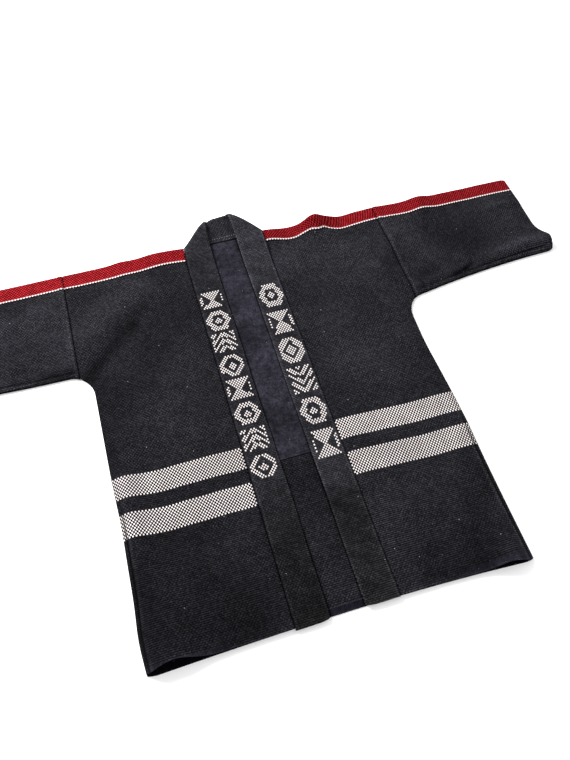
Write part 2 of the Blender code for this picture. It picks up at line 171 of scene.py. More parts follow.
# Painted shade in the coat's folds and creases and painted light on their slopes, and other lighter and darker
# places. Columns as for the folds, with the change of tone at the start and at the end.
TONES = from_mm(
    5,
    (-285, 650, -200, 705, 36, 0.58, 0.36),
    (-325, 522, -218, 622, 13, -0.7, -0.55),
    (-218, 622, -186, 668, 11, -0.4, -0.2),
    (-120, 700, -125, 620, 45, -0.2, -0.15),
    (-306, 520, -302, 340, 18, -0.3, -0.4),
    (-200, 430, -170, 360, 60, 0.08, 0.05),
    (-250, 160, -150, 60, 110, -0.34, -0.36),
    (-298, 130, -296, 30, 26, -0.5, -0.6),
    (-135, 135, -115, 100, 30, 0.16, 0.1),
    (120, 700, 250, 680, 60, 0.46, 0.36),
    (150, 560, 240, 440, 80, 0.14, 0.14),
    (195, 352, 240, 342, 24, -0.14, -0.12),
    (285, 620, 300, 560, 22, 0.2, 0.15),
    (170, 130, 120, 80, 60, 0.22, 0.22),
    (262, 90, 240, 30, 34, -0.42, -0.42),
    (282, 210, 286, 120, 18, -0.3, -0.3),
    (140, 12, 230, 6, 16, -0.35, -0.4),
    (360, 730, 420, 610, 36, 0.34, 0.22),
    (455, 680, 485, 640, 42, -0.42, -0.42),
    (365, 575, 400, 585, 16, -0.45, -0.35),
    (440, 562, 470, 570, 12, -0.5, -0.35),
    (520, 600, 632, 584, 18, 0.3, 0.6),
    (600, 730, 590, 650, 45, 0.2, 0.14),
    (-450, 650, -365, 700, 40, 0.26, 0.2),
    (-455, 735, -420, 722, 22, -0.35, -0.25),
    (-390, 548, -345, 548, 12, -0.55, -0.6),
    (-148, 690, -148, 460, 1.2, 0.16, 0.1),
    (148, 480, 148, 325, 1.2, -0.28, -0.28),
    (150.5, 480, 150.5, 325, 1.2, 0.16, 0.16),
    (-240, 620, -200, 580, 45, -0.28, -0.28),
    (-275, 500, -265, 440, 35, -0.26, -0.15),
    (-250, 50, -150, 25, 46, -0.34, -0.34),
    (-400, 585, -360, 580, 25, 0.2, 0.2),
    (150, 440, 220, 388, 56, 0.22, 0.24),
    (280, 520, 270, 460, 30, 0.18, 0.15),
    (160, 45, 230, 35, 32, -0.26, -0.26),
    (428, 562, 458, 571, 3.8, -1.5, -1.9),
    (458, 571, 474, 580, 3.4, -1.7, -0.9),
    (352, 566, 356, 548, 3, -1, -0.8),
)

# Places where the cloth, and the stripes on it, ride up (plus) or down (minus), in millimetres. Columns: x, up,
# reach across, reach along, shift.
CLOTH_WAVES = from_mm(
    5,
    (-300, 250, 26, 130, 2),
    (-228, 250, 30, 130, -3),
    (-170, 250, 34, 130, -2.3),
    (-105, 250, 36, 130, -2.9),
    (105, 250, 36, 130, 3),
    (225, 250, 45, 130, -3.3),
    (310, 250, 50, 130, -2.8),
    (95, 760, 28, 30, 6.8),
    (130, 750, 20, 30, 2.6),
    (172, 755, 24, 30, 7.2),
    (200, 758, 11, 30, -3.4),
    (214.5, 758, 9, 30, 3),
    (246, 750, 16, 30, -2.4),
)

# Mouths, where the upper layer stands off the lower one at an open edge. Columns: x, up, half width along
# the edge, reach into the cloth, lift, and at the hem how far the edge draws back.
HEM_MOUTHS = (
    (-0.268, 0.0, 0.038, 0.075, 0.0185, 0.0095),
    (0.270, 0.0, 0.029, 0.065, 0.0165, 0.0025),
)
CUFF_MOUTHS = (
    (CUFF_X, 0.5895, 0.024, 0.075, 0.0160),
    (-CUFF_X, 0.600, 0.034, 0.070, 0.0110),
)
# The lower corner of a cuff reaches further out: up below which it does, softness, reach into the sleeve,
# distance.
CUFF_REACH = (0.612, 0.006, 0.055, 0.0100)

# Lighter and darker places of the two bands of the collar, at minus and plus its width, in the same columns.
BAND_TONES = from_mm(
    5,
    (-56.5, 830, -56.5, 780, 40, 0.26, 0.2),
    (-56.5, 735, -56.5, 690, 40, -0.06, -0.06),
    (-56.5, 600, -56.5, 420, 70, -0.1, -0.12),
    (-56.5, 250, -56.5, 232, 24, 0.14, 0.1),
    (-56.5, 150, -56.5, 130, 24, -0.3, -0.3),
    (-56.5, 100, -56.5, 10, 30, -0.35, -0.4),
    (56.5, 800, 56.5, 680, 60, 0.48, 0.4),
    (56.5, 460, 56.5, 400, 40, 0.26, 0.2),
    (56.5, 262, 56.5, 235, 28, 0.4, 0.34),
    (56.5, 160, 56.5, 132, 22, -0.34, -0.34),
)

# Collar. The neck is tilted in full from NECK_FLAT beside its middle.
CORNER_RADIUS = 0.0040
NECK_STAND = 0.0140
NECK_TILT = 0.0030
NECK_FLAT = 0.03
NECK_HUMP = {-1: 0.0, 1: 0.0060}
CORNER_FADE = 0.070
# The fold at a neck corner: how far its middle bows inward, and how far its tip is rounded off.
NECK_BOW = {-1: 0.0, 1: -0.0030}
NECK_TIP = 0.0055
# Where the cloth is drawn in beside the right neck corner: x, up, reach across, reach along, shift.
NECK_PULL = (-0.085, 0.800, 0.045, 0.050, 0.0035)
BAND_END_DROP = {-1: 0.0045, 1: 0.0025}
BAND_LENGTH = 2.0 * (SHOULDER_UP + COLLAR_SEAM_X)
DIAGONAL = math.sqrt(2.0)

# Weave: a checkerboard of raised dots, with the pitch along a row and from a row to the next but one.
DOT_PITCH_ACROSS = 0.00562
DOT_PITCH_ALONG = 0.00662
RED_DEPTH = 0.0335
BORDER_DEPTH = 0.0362
STRIPES = ((0.4698, 0.5080), (0.5335, 0.5790))

# Camera, in the garment's place: found by matching outline, seams and stripes of the photograph.
CAMERA_PLACE = (-0.1694, -0.1893 - HALF_DEPTH, 1.0759)
CAMERA_RIGHT = (0.95664, -0.29111, 0.00938)
CAMERA_DOWN = (-0.24508, -0.82193, -0.51416)
CAMERA_FORWARD = (0.15739, 0.48957, -0.85764)
FOCAL_PIXELS = 681.55
PHOTO_HEIGHT = 760
SENSOR = 36.0


# Form of the cloth.


def bell(distance, width):
    """1 at no distance, falling away smoothly over a width."""
    return np.exp(-((distance / width) ** 2))


def clamp(share):
    """A share kept between 0 and 1."""
    return np.clip(share, 0.0, 1.0)


def hem_up(x):
    """The hem line, which sags a little towards the side seams and ends in a small round corner."""
    sag = np.where(x < 0.0, HEM_SAG[-1], HEM_SAG[1])
    length, rise = HEM_CORNER
    corner = clamp((np.abs(x) - BODY_WIDTH / 2 + length) / length) ** 2
    return HEM_RISE - sag * (x / (BODY_WIDTH / 2)) ** 2 + rise * corner


def side_x(up, side):
    """Half width of the body at a height: the side, then the round of the armpit up to the sleeve."""
    centre_x, centre_up = ARMPIT_CENTRE
    along = clamp((up - centre_up) / ARMPIT_RADII[1])
    reach = centre_x - ARMPIT_RADII[0] * np.sqrt(1.0 - along**2)
    for wave_up, length, shift in SIDE_WAVES[side]:
        reach = reach + shift * bell(up - wave_up, length)
    return np.minimum(reach, SLEEVE_SEAM_X - GAP / 2)


def underarm_up(x, side):
    """Lower edge of a sleeve: the rest of the armpit's round, the seam, and the cuff's round corner."""
    centre_x, centre_up = ARMPIT_CENTRE
    reach = np.abs(x)
    inward = clamp((centre_x - reach) / ARMPIT_RADII[0])
    armpit = centre_up + ARMPIT_RADII[1] * np.sqrt(1.0 - inward**2)
    top = centre_up + ARMPIT_RADII[1]
    outward = clamp((reach - centre_x) / (CUFF_X - centre_x))
    bow = 4.0 * UNDERARM_BOW[side] * outward * (1.0 - outward)
    corner = clamp((reach - CUFF_X + CORNER_ROUND) / CORNER_ROUND) ** 2
    return armpit + (UNDERARM_CUFF_UP[side] - top) * outward + bow + CORNER_DROP * corner


def shoulder_up(x):
    """The shoulder fold, rounded off a little at the cuffs."""
    corner = clamp((np.abs(x) - CUFF_X + CORNER_ROUND) / CORNER_ROUND) ** 2
    return SHOULDER_UP - 0.8 * CORNER_DROP * corner


def closed_seam(side):
    """Points along the side seam, the armpit and the underarm seam of one side."""
    ups = np.linspace(-0.02, ARMPIT_CENTRE[1] + 0.85 * ARMPIT_RADII[1], 90)
    reaches = np.linspace(SLEEVE_SEAM_X - 0.001, CUFF_X, 50)
    lower = np.stack([side_x(ups, side), ups], axis=1)
    upper = np.stack([reaches, underarm_up(reaches, side)], axis=1)
    return np.concatenate([lower, upper])


def seam_distance(x, up, side):
    """Distance in the plane from each point to the nearest closed seam."""
    seam = closed_seam(side)
    nearest = np.full(np.shape(x), np.inf)
    for start, end in zip(seam[:-1], seam[1:]):
        run = end - start
        across = np.abs(x) - start[0]
        along = up - start[1]
        share = clamp((across * run[0] + along * run[1]) / max(float(run @ run), 1e-15))
        nearest = np.minimum(nearest, (across - share * run[0]) ** 2 + (along - share * run[1]) ** 2)
    return np.sqrt(nearest)


def folds(x, up, table):
    """Sum of the folds of a table at each point."""
    total = np.zeros_like(x)
    for start_x, start_up, end_x, end_up, width, first, last in table:
        run_x = end_x - start_x
        run_up = end_up - start_up
        share = clamp(((x - start_x) * run_x + (up - start_up) * run_up) / (run_x**2 + run_up**2))
        away = (x - start_x - share * run_x) ** 2 + (up - start_up - share * run_up) ** 2
        total += (first + (last - first) * share) * np.exp(-away / width**2)
    return total


def mouths(x, up):
    """Lift of the upper layer at the open corners of the hem and at the cuffs."""
    total = np.zeros_like(x)
    for mouth_x, mouth_up, width, reach, lift, _ in HEM_MOUTHS:
        total += lift * bell(x - mouth_x, width) * bell(up - mouth_up, reach)
    for mouth_x, mouth_up, width, reach, lift in CUFF_MOUTHS:
        total += lift * bell(x - mouth_x, reach) * bell(up - mouth_up, width)
    return total


# Cells of the noise before it repeats, and extra places of a mesh close to an edge.
CELLS = 64
EDGE_STEPS = np.array([0.0, 0.15, 0.45, 1.0, 1.8]) * 0.0010


def crumple(x, up, length, seed):
    """Smooth noise between -1 and 1 with hills about the given length apart."""
    values = np.random.default_rng(seed).uniform(-1.0, 1.0, (CELLS, CELLS))
    row, column = (up + 2.0) / length, (x + 2.0) / length
    i, j = np.floor(row).astype(int), np.floor(column).astype(int)
    down, right = row - i, column - j
    down = down * down * (3.0 - 2.0 * down)
    right = right * right * (3.0 - 2.0 * right)

    def blend(i):
        """The noise along one row of cells."""
        return values[i % CELLS, j % CELLS] * (1.0 - right) + values[i % CELLS, (j + 1) % CELLS] * right

    return blend(i) * (1.0 - down) + blend(i + 1) * down


# Reach over which the marks of the underarm seam and of the side seam grow to their full strength.
SLEEVE_FADE = 0.010
SIDE_FADE = 0.12
# The pressed allowance beside the armhole: height, width, softness of its end and of its start.
ALLOWANCE = (0.0013, 0.0110, 0.0009, 0.0013)
# The armhole and collar seams. Columns: x, depth and width of the groove, height, pitch and unrest of the puckers,
# length and seed of the unrest, reach of the puckers.
PUCKERS = (
    (SLEEVE_SEAM_X, 0.0014, 0.0022, 0.00055, 0.0135, 2.2, 0.05, 3, 0.011),
    (COLLAR_SEAM_X, 0.0012, 0.0018, 0.00050, 0.0190, 2.5, 0.06, 4, 0.014),
)
# Crumples of the upper layer. Columns: height, shear, length, seed.
CRUMPLES = ((0.0008, 0.0, 0.065, 11), (0.0004, 0.3, 0.027, 12), (0.00016, -0.4, 0.011, 13))
# Ridges and grooves beside the underarm and side seams. Columns: distance from the seam, width, height.
UNDERARM_RELIEF = ((0.0055, 0.0016, 0.0013), (0.0088, 0.0015, -0.0016))
SIDE_RELIEF = ((0.0110, 0.0020, 0.0016), (0.0068, 0.0020, -0.0012))
# Reach of the wear at the hem and the cuffs, and along the shoulder, and half width of the shade in a seam.
EDGE_WEAR = 0.0030
SHOULDER_WEAR = 0.0040
SEAM_SHADE = 0.0016
# Painted highlight on the ridges of the allowance, in the columns of the ridges.
ALLOWANCE_HIGHLIGHT = ((0.0044, 0.0020, 0.90), (0.0106, 0.0016, 0.55))


def ridges(distance, table):
    """Sum of the ridges of a table at a distance from a seam."""
    return sum(height * bell(distance - place, width) for place, width, height in table)


def low_side(beyond, up, start):
    """1 on the lower part of the body, fading in below a height."""
    return np.where(beyond <= 0.0, clamp((start - up) / SIDE_FADE), 0.0)


def seam_relief(x, up, distance):
    """Steps, puckers and turnings beside the seams of the upper layer."""
    reach = np.abs(x)
    beyond = reach - SLEEVE_SEAM_X
    height, width, softness, start = ALLOWANCE
    allowance = height / (1.0 + np.exp((beyond - width) / softness))
    relief = np.where(beyond > 0.0, allowance * (1.0 - np.exp(-np.abs(beyond) / start)), 0.0)
    for seam_x, depth, width, height, pitch, unrest, length, seed, fade in PUCKERS:
        away = np.abs(reach - seam_x)
        ripple = np.sin(2.0 * np.pi * up / pitch + unrest * crumple(x, up, length, seed))
        relief += height * ripple * np.exp(-away / fade) - depth * bell(away, width)
    sleeve = clamp(beyond / SLEEVE_FADE)
    side = low_side(beyond, up, 0.30)
    return relief + sleeve * ridges(distance, UNDERARM_RELIEF) + side * ridges(distance, SIDE_RELIEF)


def upper_height(x, up, side):
    """Height of the upper layer's mid surface: lofted, but down on the lower layer at the closed seams."""
    distance = seam_distance(x, up, side)
    wave = 0.0006 * np.sin(21.0 * x + 4.0 * up) + 0.0005 * np.sin(17.0 * up - 9.0 * x)
    rumple = sum(lift * crumple(x + shear * up, up, length, seed) for lift, shear, length, seed in CRUMPLES)
    inner = LOFT + wave + folds(x, up, FOLDS) + 1.5 * folds(x, up, CREASES) + rumple
    inner = np.maximum(inner, -0.0006) + mouths(x, up)
    roll = 1.0 - np.exp(-distance / EDGE_ROLL)
    return EDGE_MID + (FRONT_MID - EDGE_MID + inner) * roll + seam_relief(x, up, distance) * roll


def cuff_reach(x, up, side):
    """How far the lower corner of a cuff stands out beyond its upper one."""
    corner_up, softness, reach, out = CUFF_REACH
    near = clamp((np.abs(x) - CUFF_X + reach) / reach)
    return side * out * near**2 / (1.0 + np.exp((up - corner_up) / softness))


def front_hem_up(x):
    """Hem of the upper layer, which draws back where it stands off the lower one."""
    drawn = hem_up(x)
    for mouth_x, _, width, _, _, back in HEM_MOUTHS:
        drawn = drawn + back * bell(x - mouth_x, width)
    return drawn


def neck_pull(x, up):
    """How far the cloth beside the right neck corner is drawn in."""
    pull_x, pull_up, across, along, shift = NECK_PULL
    return shift * bell(x - pull_x, across) * bell(up - pull_up, along)


def at(x, up, height):
    """Points of the model for places on the coat."""
    return np.stack([x + neck_pull(x, up), up - HALF_DEPTH, height], axis=-1)


def rounded(distance, radius, least=0.18):
    """Half thickness factor near an edge, so that the wall ends in a round rim."""
    near = clamp(distance / radius)
    return np.maximum(np.sqrt(1.0 - (1.0 - near) ** 2), least)


def refined(count, length):
    """Places from 0 to 1 along a length, with extra ones close to both ends."""
    steps = EDGE_STEPS / length
    places = [steps, np.linspace(steps[-1], 1.0 - steps[-1], count), 1.0 - steps]
    return np.unique(np.concatenate(places).round(7))


def shoulder_arc(x, side, steps):
    """Mid points of the roll over the shoulder, from the lower layer to the upper one."""
    top = shoulder_up(x) - CLOTH / 2
    high = upper_height(x, top - SHOULDER_ROLL, side)
    middle = (BACK_MID + high) / 2
    rise = (high - BACK_MID) / 2
    turn = np.linspace(-np.pi / 2, np.pi / 2, steps + 1)[:, None]
    return at(x + 0.0 * turn, top - SHOULDER_ROLL * (1.0 - np.cos(turn)), middle + rise * np.sin(turn))


# Meshes.


def link(name, data):
    """A new object of the scene."""
    piece = bpy.data.objects.new(name, data)
    bpy.context.scene.collection.objects.link(piece)
    return piece


def surface_normals(mid, square_columns):
    """Unit normals of a grid of points, kept square to X along the given columns, which lie on seams."""
    normal = np.cross(np.gradient(mid, axis=0), np.gradient(mid, axis=1))
    normal[:, list(square_columns), 0] = 0.0
    length = np.linalg.norm(normal, axis=-1, keepdims=True)
    return normal / np.maximum(length, 1e-12)


def make_wall(name, mid, half, cloth, marks, present=None, square_columns=(0, -1)):
    """One closed cloth wall round a grid of mid points.

    cloth holds each point's place on the flat cloth, which becomes the UV map, and marks its named attributes.
    The outer face is on the side of the grid's normals, and the attribute "inside" is 1 on the other one.
    """
    rows, columns = mid.shape[:2]
    if present is None:
        present = np.ones((rows - 1, columns - 1), bool)
    offset = surface_normals(mid, square_columns) * half[..., None]
    points = np.concatenate([(mid + offset).reshape(-1, 3), (mid - offset).reshape(-1, 3)])
    number = np.arange(rows * columns).reshape(rows, columns)
    corners = np.stack([number[:-1, :-1], number[1:, :-1], number[1:, 1:], number[:-1, 1:]], axis=-1)
    outer = corners[present]
    inner = outer[:, ::-1] + rows * columns
    edges = {}
    for shift in range(4):
        for first, second in zip(outer[:, shift].tolist(), outer[:, (shift + 1) % 4].tolist()):
            if edges.pop((second, first), None) is None:
                edges[(first, second)] = True
    rim = np.array([(b, a, a + rows * columns, b + rows * columns) for a, b in edges])
    quads = np.concatenate([outer, inner, rim])
    used = np.unique(quads)
    place = np.zeros(len(points), int)
    place[used] = np.arange(len(used))
    mesh = bpy.data.meshes.new(name)
    mesh.from_pydata(points[used].tolist(), [], place[quads].tolist())
    uv = np.tile(cloth.reshape(-1, 2), (2, 1))[quads].reshape(-1)
    mesh.uv_layers.new(name="cloth").data.foreach_set("uv", uv.astype(np.float32))
    layers = {label: np.tile(values.reshape(-1), 2)[used] for label, values in marks.items()}
    layers["inside"] = np.concatenate([np.zeros(rows * columns), np.ones(rows * columns)])[used]
    for label, values in layers.items():
        layer = mesh.attributes.new(label, "FLOAT", "POINT")
        layer.data.foreach_set("value", values.astype(np.float32))
    mesh.validate()
    mesh.shade_smooth()
    return link(name, mesh)


def along_rows(mid):
    """Length along each column of a grid, from its first row."""
    step = np.linalg.norm(np.diff(mid, axis=0), axis=-1)
    return np.concatenate([np.zeros((1, mid.shape[1])), np.cumsum(step, axis=0)])


def along_columns(mid):
    """Length along each row of a grid, from its first column."""
    step = np.linalg.norm(np.diff(mid, axis=1), axis=-1)
    return np.concatenate([np.zeros((mid.shape[0], 1)), np.cumsum(step, axis=1)], axis=1)


BODY_ACROSS = refined(84, BODY_WIDTH / 2 - COLLAR_SEAM_X)
NECK_COLUMNS = 40
ROLL_START = SHOULDER_UP - CLOTH / 2 - SHOULDER_ROLL
ROLL_LENGTH = 0.0066
# Reach over which the extra cloth of a hump is eased away below the shoulder.
HUMP_EASE = 0.060
CLOTH_RIM = 0.0011
# Sections of a stitch. Columns: place along its length, girth, lift.
STITCH_PROFILE = ((-0.5, 0.35, -0.6), (-0.28, 1.0, 0.1), (0.0, 1.1, 0.3), (0.28, 1.0, 0.1), (0.5, 0.35, -0.6))
NECK_X = np.linspace(-COLLAR_SEAM_X - GAP, COLLAR_SEAM_X + GAP, NECK_COLUMNS + 1)[1:-1]


def body_row(share, upper):
    """One row of the body, from the right side seam to the left one, with its rim distance."""
    seam_x = COLLAR_SEAM_X + GAP
    halves, rims = {}, {}
    for side in (-1, 1):
        up = share * ROLL_START * np.ones_like(BODY_ACROSS)
        for _ in range(3):
            x = side * (seam_x + BODY_ACROSS * (side_x(up, side) - seam_x))
            low = front_hem_up(x) if upper else hem_up(x)
            up = low + share * (ROLL_START - low)
        height = upper_height(x, up, side) if upper else np.full_like(x, BACK_MID)
        halves[side] = at(x, up, height)
        inner = np.abs(x) - seam_x + (0.0 if upper else 1.0)
        rims[side] = np.minimum(np.minimum(up - low, side_x(up, side) - np.abs(x)), inner)
    if upper:
        middle = np.where(NECK_X[:, None] < 0.0, halves[-1][:1], halves[1][:1])
        rim = np.zeros(len(NECK_X))
    else:
        low = hem_up(NECK_X)
        up = low + share * (SHOULDER_UP - GAP - low)
        middle = at(NECK_X, up, np.full_like(NECK_X, BACK_MID))
        rim = up - low
    row = np.concatenate([halves[-1][::-1], middle, halves[1]])
    return row, np.concatenate([rims[-1][::-1], rim, rims[1]])


def body_arc(steps):
    """Rows of the body's roll over the shoulders, with nothing in the neck opening."""
    seam_x = COLLAR_SEAM_X + GAP
    halves, rims = {}, {}
    for side in (-1, 1):
        x = side * (seam_x + BODY_ACROSS * (side_x(ROLL_START, side) - seam_x))
        halves[side] = shoulder_arc(x[None, :], side, steps)[1:-1]
        rims[side] = np.minimum(np.abs(x) - seam_x, side_x(ROLL_START, side) - np.abs(x))
    middle = np.where(NECK_X[:, None] < 0.0, halves[-1][:, :1], halves[1][:, :1])
    rim = np.concatenate([rims[-1][::-1], np.zeros(len(NECK_X)), rims[1]])
    return np.concatenate([halves[-1][:, ::-1], middle, halves[1]], axis=1), rim


def coat_marks(mid, upper):
    """Wear with painted highlights, painted seam shade, and tone of the body and the sleeves.

    Wear lies on hems, cuffs and the shoulder roll, painted highlights on fold crests and seam ridges, painted shade
    in the seams.
    """
    up = mid[..., 1] + HALF_DEPTH
    x = mid[..., 0] - neck_pull(mid[..., 0], up)
    line = front_hem_up(x) * upper + hem_up(x) * (1.0 - upper)
    hem = np.exp(-clamp(up - line) / EDGE_WEAR)
    cuff = np.exp(-np.abs(CUFF_X - np.abs(x)) / EDGE_WEAR)
    # Painted highlight on the crests of the upper layer's folds.
    crest = clamp(folds(x, up, FOLDS) / 0.012) * upper
    shoulder = np.exp(-clamp(SHOULDER_UP - up) / SHOULDER_WEAR)
    beyond = np.abs(x) - SLEEVE_SEAM_X
    distance = np.where(x < 0.0, seam_distance(x, up, -1), seam_distance(x, up, 1))
    sleeve = clamp(beyond / SLEEVE_FADE)
    low = low_side(beyond, up, 0.33)
    # Painted highlight on the lip beside the underarm seam and on the ridge beside the lower side seam.
    ridge = sleeve * bell(distance - 0.0055, np.where(x < 0.0, 0.0024, 0.0018))
    ridge += low * np.where(x < 0.0, 0.8, 2.0) * bell(distance - 0.0112, 0.0020)
    wear_and_highlight = hem + 0.6 * cuff + 0.4 * crest + 0.5 * shoulder + ridges(beyond, ALLOWANCE_HIGHLIGHT) + 0.7 * ridge * upper
    armhole = bell(beyond, SEAM_SHADE) * np.where(up > ARMPIT_CENTRE[1] + 0.03, 1.0, 0.0)
    collar = bell(np.abs(x) - COLLAR_SEAM_X, SEAM_SHADE) * upper
    groove = sleeve * bell(distance - 0.0090, np.where(x < 0.0, 0.0018, 0.0011))
    groove += low * bell(distance - 0.0066, 0.0020)
    edge = 0.75 * bell(distance, SEAM_SHADE)
    shade = clamp(armhole + collar + (groove + edge) * upper)
    # Painted shade on the lower layer, below the lining's edge and towards the sides, inside the hem mouths.
    behind = 0.97 - 0.27 * bell(up - 0.220, 0.055)
    behind = behind * (1.0 - 0.72 * clamp((np.abs(x) - 0.15) / 0.04))
    tone = np.exp(folds(x, up, TONES)) * upper + behind * (1.0 - upper)
    return {"wear_and_highlight": clamp(wear_and_highlight), "shade": shade, "tone": tone}


def shoulder_drop(mid, first_upper, arc_rows):
    """Place along the flat cloth from the shoulder fold, plus on the upper layer and minus on the lower one.

    The extra cloth in a hump of the shoulder is eased away below it.
    """
    up = mid[..., 1] + HALF_DEPTH
    down = along_rows(mid)
    down = down - down[first_upper - arc_rows // 2 - 1]
    below = ROLL_START - up
    extra = down[first_upper] - ROLL_LENGTH
    down[first_upper:] = ROLL_LENGTH + below[first_upper:] + extra * np.exp(-below[first_upper:] / HUMP_EASE)
    down[: first_upper - arc_rows] = -ROLL_LENGTH - below[: first_upper - arc_rows]
    return down


def make_body():
    """The body, cut in one: the back, the shoulder folds and the fronts, whose inner edges join the collar."""
    hem_steps = np.array([0.0, 0.0002, 0.0006, 0.0013, 0.0024, 0.0060, 0.0130, 0.0155, 0.0180])
    back_shares = np.concatenate([hem_steps, np.linspace(0.03, 0.61, 26), np.linspace(0.62, 0.70, 10)])
    back_shares = np.concatenate([back_shares, np.linspace(0.72, 1.0, 10)])
    front_shares = np.concatenate([hem_steps, np.linspace(0.0215, 1.0, 176)])[::-1]
    back = [body_row(share, False) for share in back_shares]
    front = [body_row(share, True) for share in front_shares]
    arc, arc_rim = body_arc(12)
    mid = np.concatenate([np.stack([row for row, _ in back]), arc, np.stack([row for row, _ in front])])
    rim = [r for _, r in back] + [arc_rim] * len(arc) + [r for _, r in front]
    rim = np.stack(rim)
    first_upper = len(back) + len(arc)
    down = shoulder_drop(mid, first_upper, len(arc))
    waves = np.zeros_like(down)
    for x, up, reach, length, lift in CLOTH_WAVES:
        waves += lift * bell(mid[..., 0] - x, reach) * bell(mid[..., 1] + HALF_DEPTH - up, length)
    down[first_upper:] += waves[first_upper:]
    half_columns = len(BODY_ACROSS)
    left = along_columns(mid[:, half_columns + NECK_COLUMNS - 1 :])
    right = along_columns(mid[:, half_columns - 1 :: -1])[:, ::-1]
    seam = COLLAR_SEAM_X
    across = np.concatenate([-right - seam, np.tile(NECK_X, (len(mid), 1)), left + seam], axis=1)
    cloth = np.stack([across, down], axis=-1)
    present = np.ones((len(mid) - 1, mid.shape[1] - 1), bool)
    present[len(back) - 1 :, half_columns - 1 : half_columns - 1 + NECK_COLUMNS] = False
    seams = (0, half_columns - 1, half_columns - 1 + NECK_COLUMNS, -1)
    half = CLOTH / 2 * rounded(rim, CLOTH_RIM)
    upper = (np.arange(len(mid)) >= first_upper - len(arc) // 2)[:, None]
    return make_wall("body_cloth", mid, half, cloth, coat_marks(mid, upper), present, seams)


def make_sleeve(name, side):
    """A sleeve cut in one, folded at the shoulder, with its two edges meeting in the underarm seam."""
    first_x = SLEEVE_SEAM_X + GAP / 2
    x = np.sort(side * (first_x + refined(96, CUFF_X - SLEEVE_SEAM_X) * (CUFF_X - first_x)))
    start = underarm_up(x, side)
    end = shoulder_up(x) - CLOTH / 2 - SHOULDER_ROLL

    def layer(steps, count, height):
        """Mid points of one layer, from the underarm up."""
        shares = np.concatenate([steps, np.linspace(0.02, 1.0, count)])[:, None]
        up = start + shares * (end - start)
        wide_x = x + 0.0 * up
        return at(wide_x + cuff_reach(wide_x, up, side), up, height(wide_x, up))

    back = layer([0.0, 0.0009, 0.0024, 0.0055], 14, lambda x, up: np.full_like(up, BACK_MID))
    front_steps = [0.0, 0.0007, 0.0020, 0.0045, 0.0080, 0.0135]
    front = layer(front_steps, 84, lambda x, up: upper_height(x, up, side))[::-1]
    arc = shoulder_arc(x[None, :], side, 16)[1:-1]
    mid = np.concatenate([back, arc, front])
    first_upper = len(back) + len(arc)
    reach = np.abs(mid[..., 0])
    below = mid[..., 1] + HALF_DEPTH - start
    below[len(back) : first_upper] = 1.0
    rim = np.minimum(np.minimum(CUFF_X - reach, reach - first_x), below)
    down = shoulder_drop(mid, first_upper, len(arc))
    across = along_columns(mid)
    across = across + SLEEVE_SEAM_X if side > 0 else across - across[:, -1:] - SLEEVE_SEAM_X
    upper = (np.arange(len(mid)) >= first_upper - len(arc) // 2)[:, None]
    half = CLOTH / 2 * rounded(rim, CLOTH_RIM)
    return make_wall(name, mid, half, np.stack([across, down], axis=-1), coat_marks(mid, upper))


def band_section():
    """Places across the band and half thicknesses: flat at its seam, crowned, and round at its folded edge."""
    near_seam = np.array([0.0, 0.0004, 0.0010, 0.0020, 0.0034])
    near_fold = COLLAR_WIDTH - np.array([0.0, 0.00012, 0.0004, 0.0009, 0.0016, 0.0026, 0.0040])
    t = np.unique(np.concatenate([near_seam, near_fold, np.linspace(0.006, COLLAR_WIDTH - 0.006, 16)]))
    half = BAND / 2 * rounded(COLLAR_WIDTH - t, 0.0030, 0.12) * rounded(t + 0.0006, 0.0024, 0.5)
    return t, half


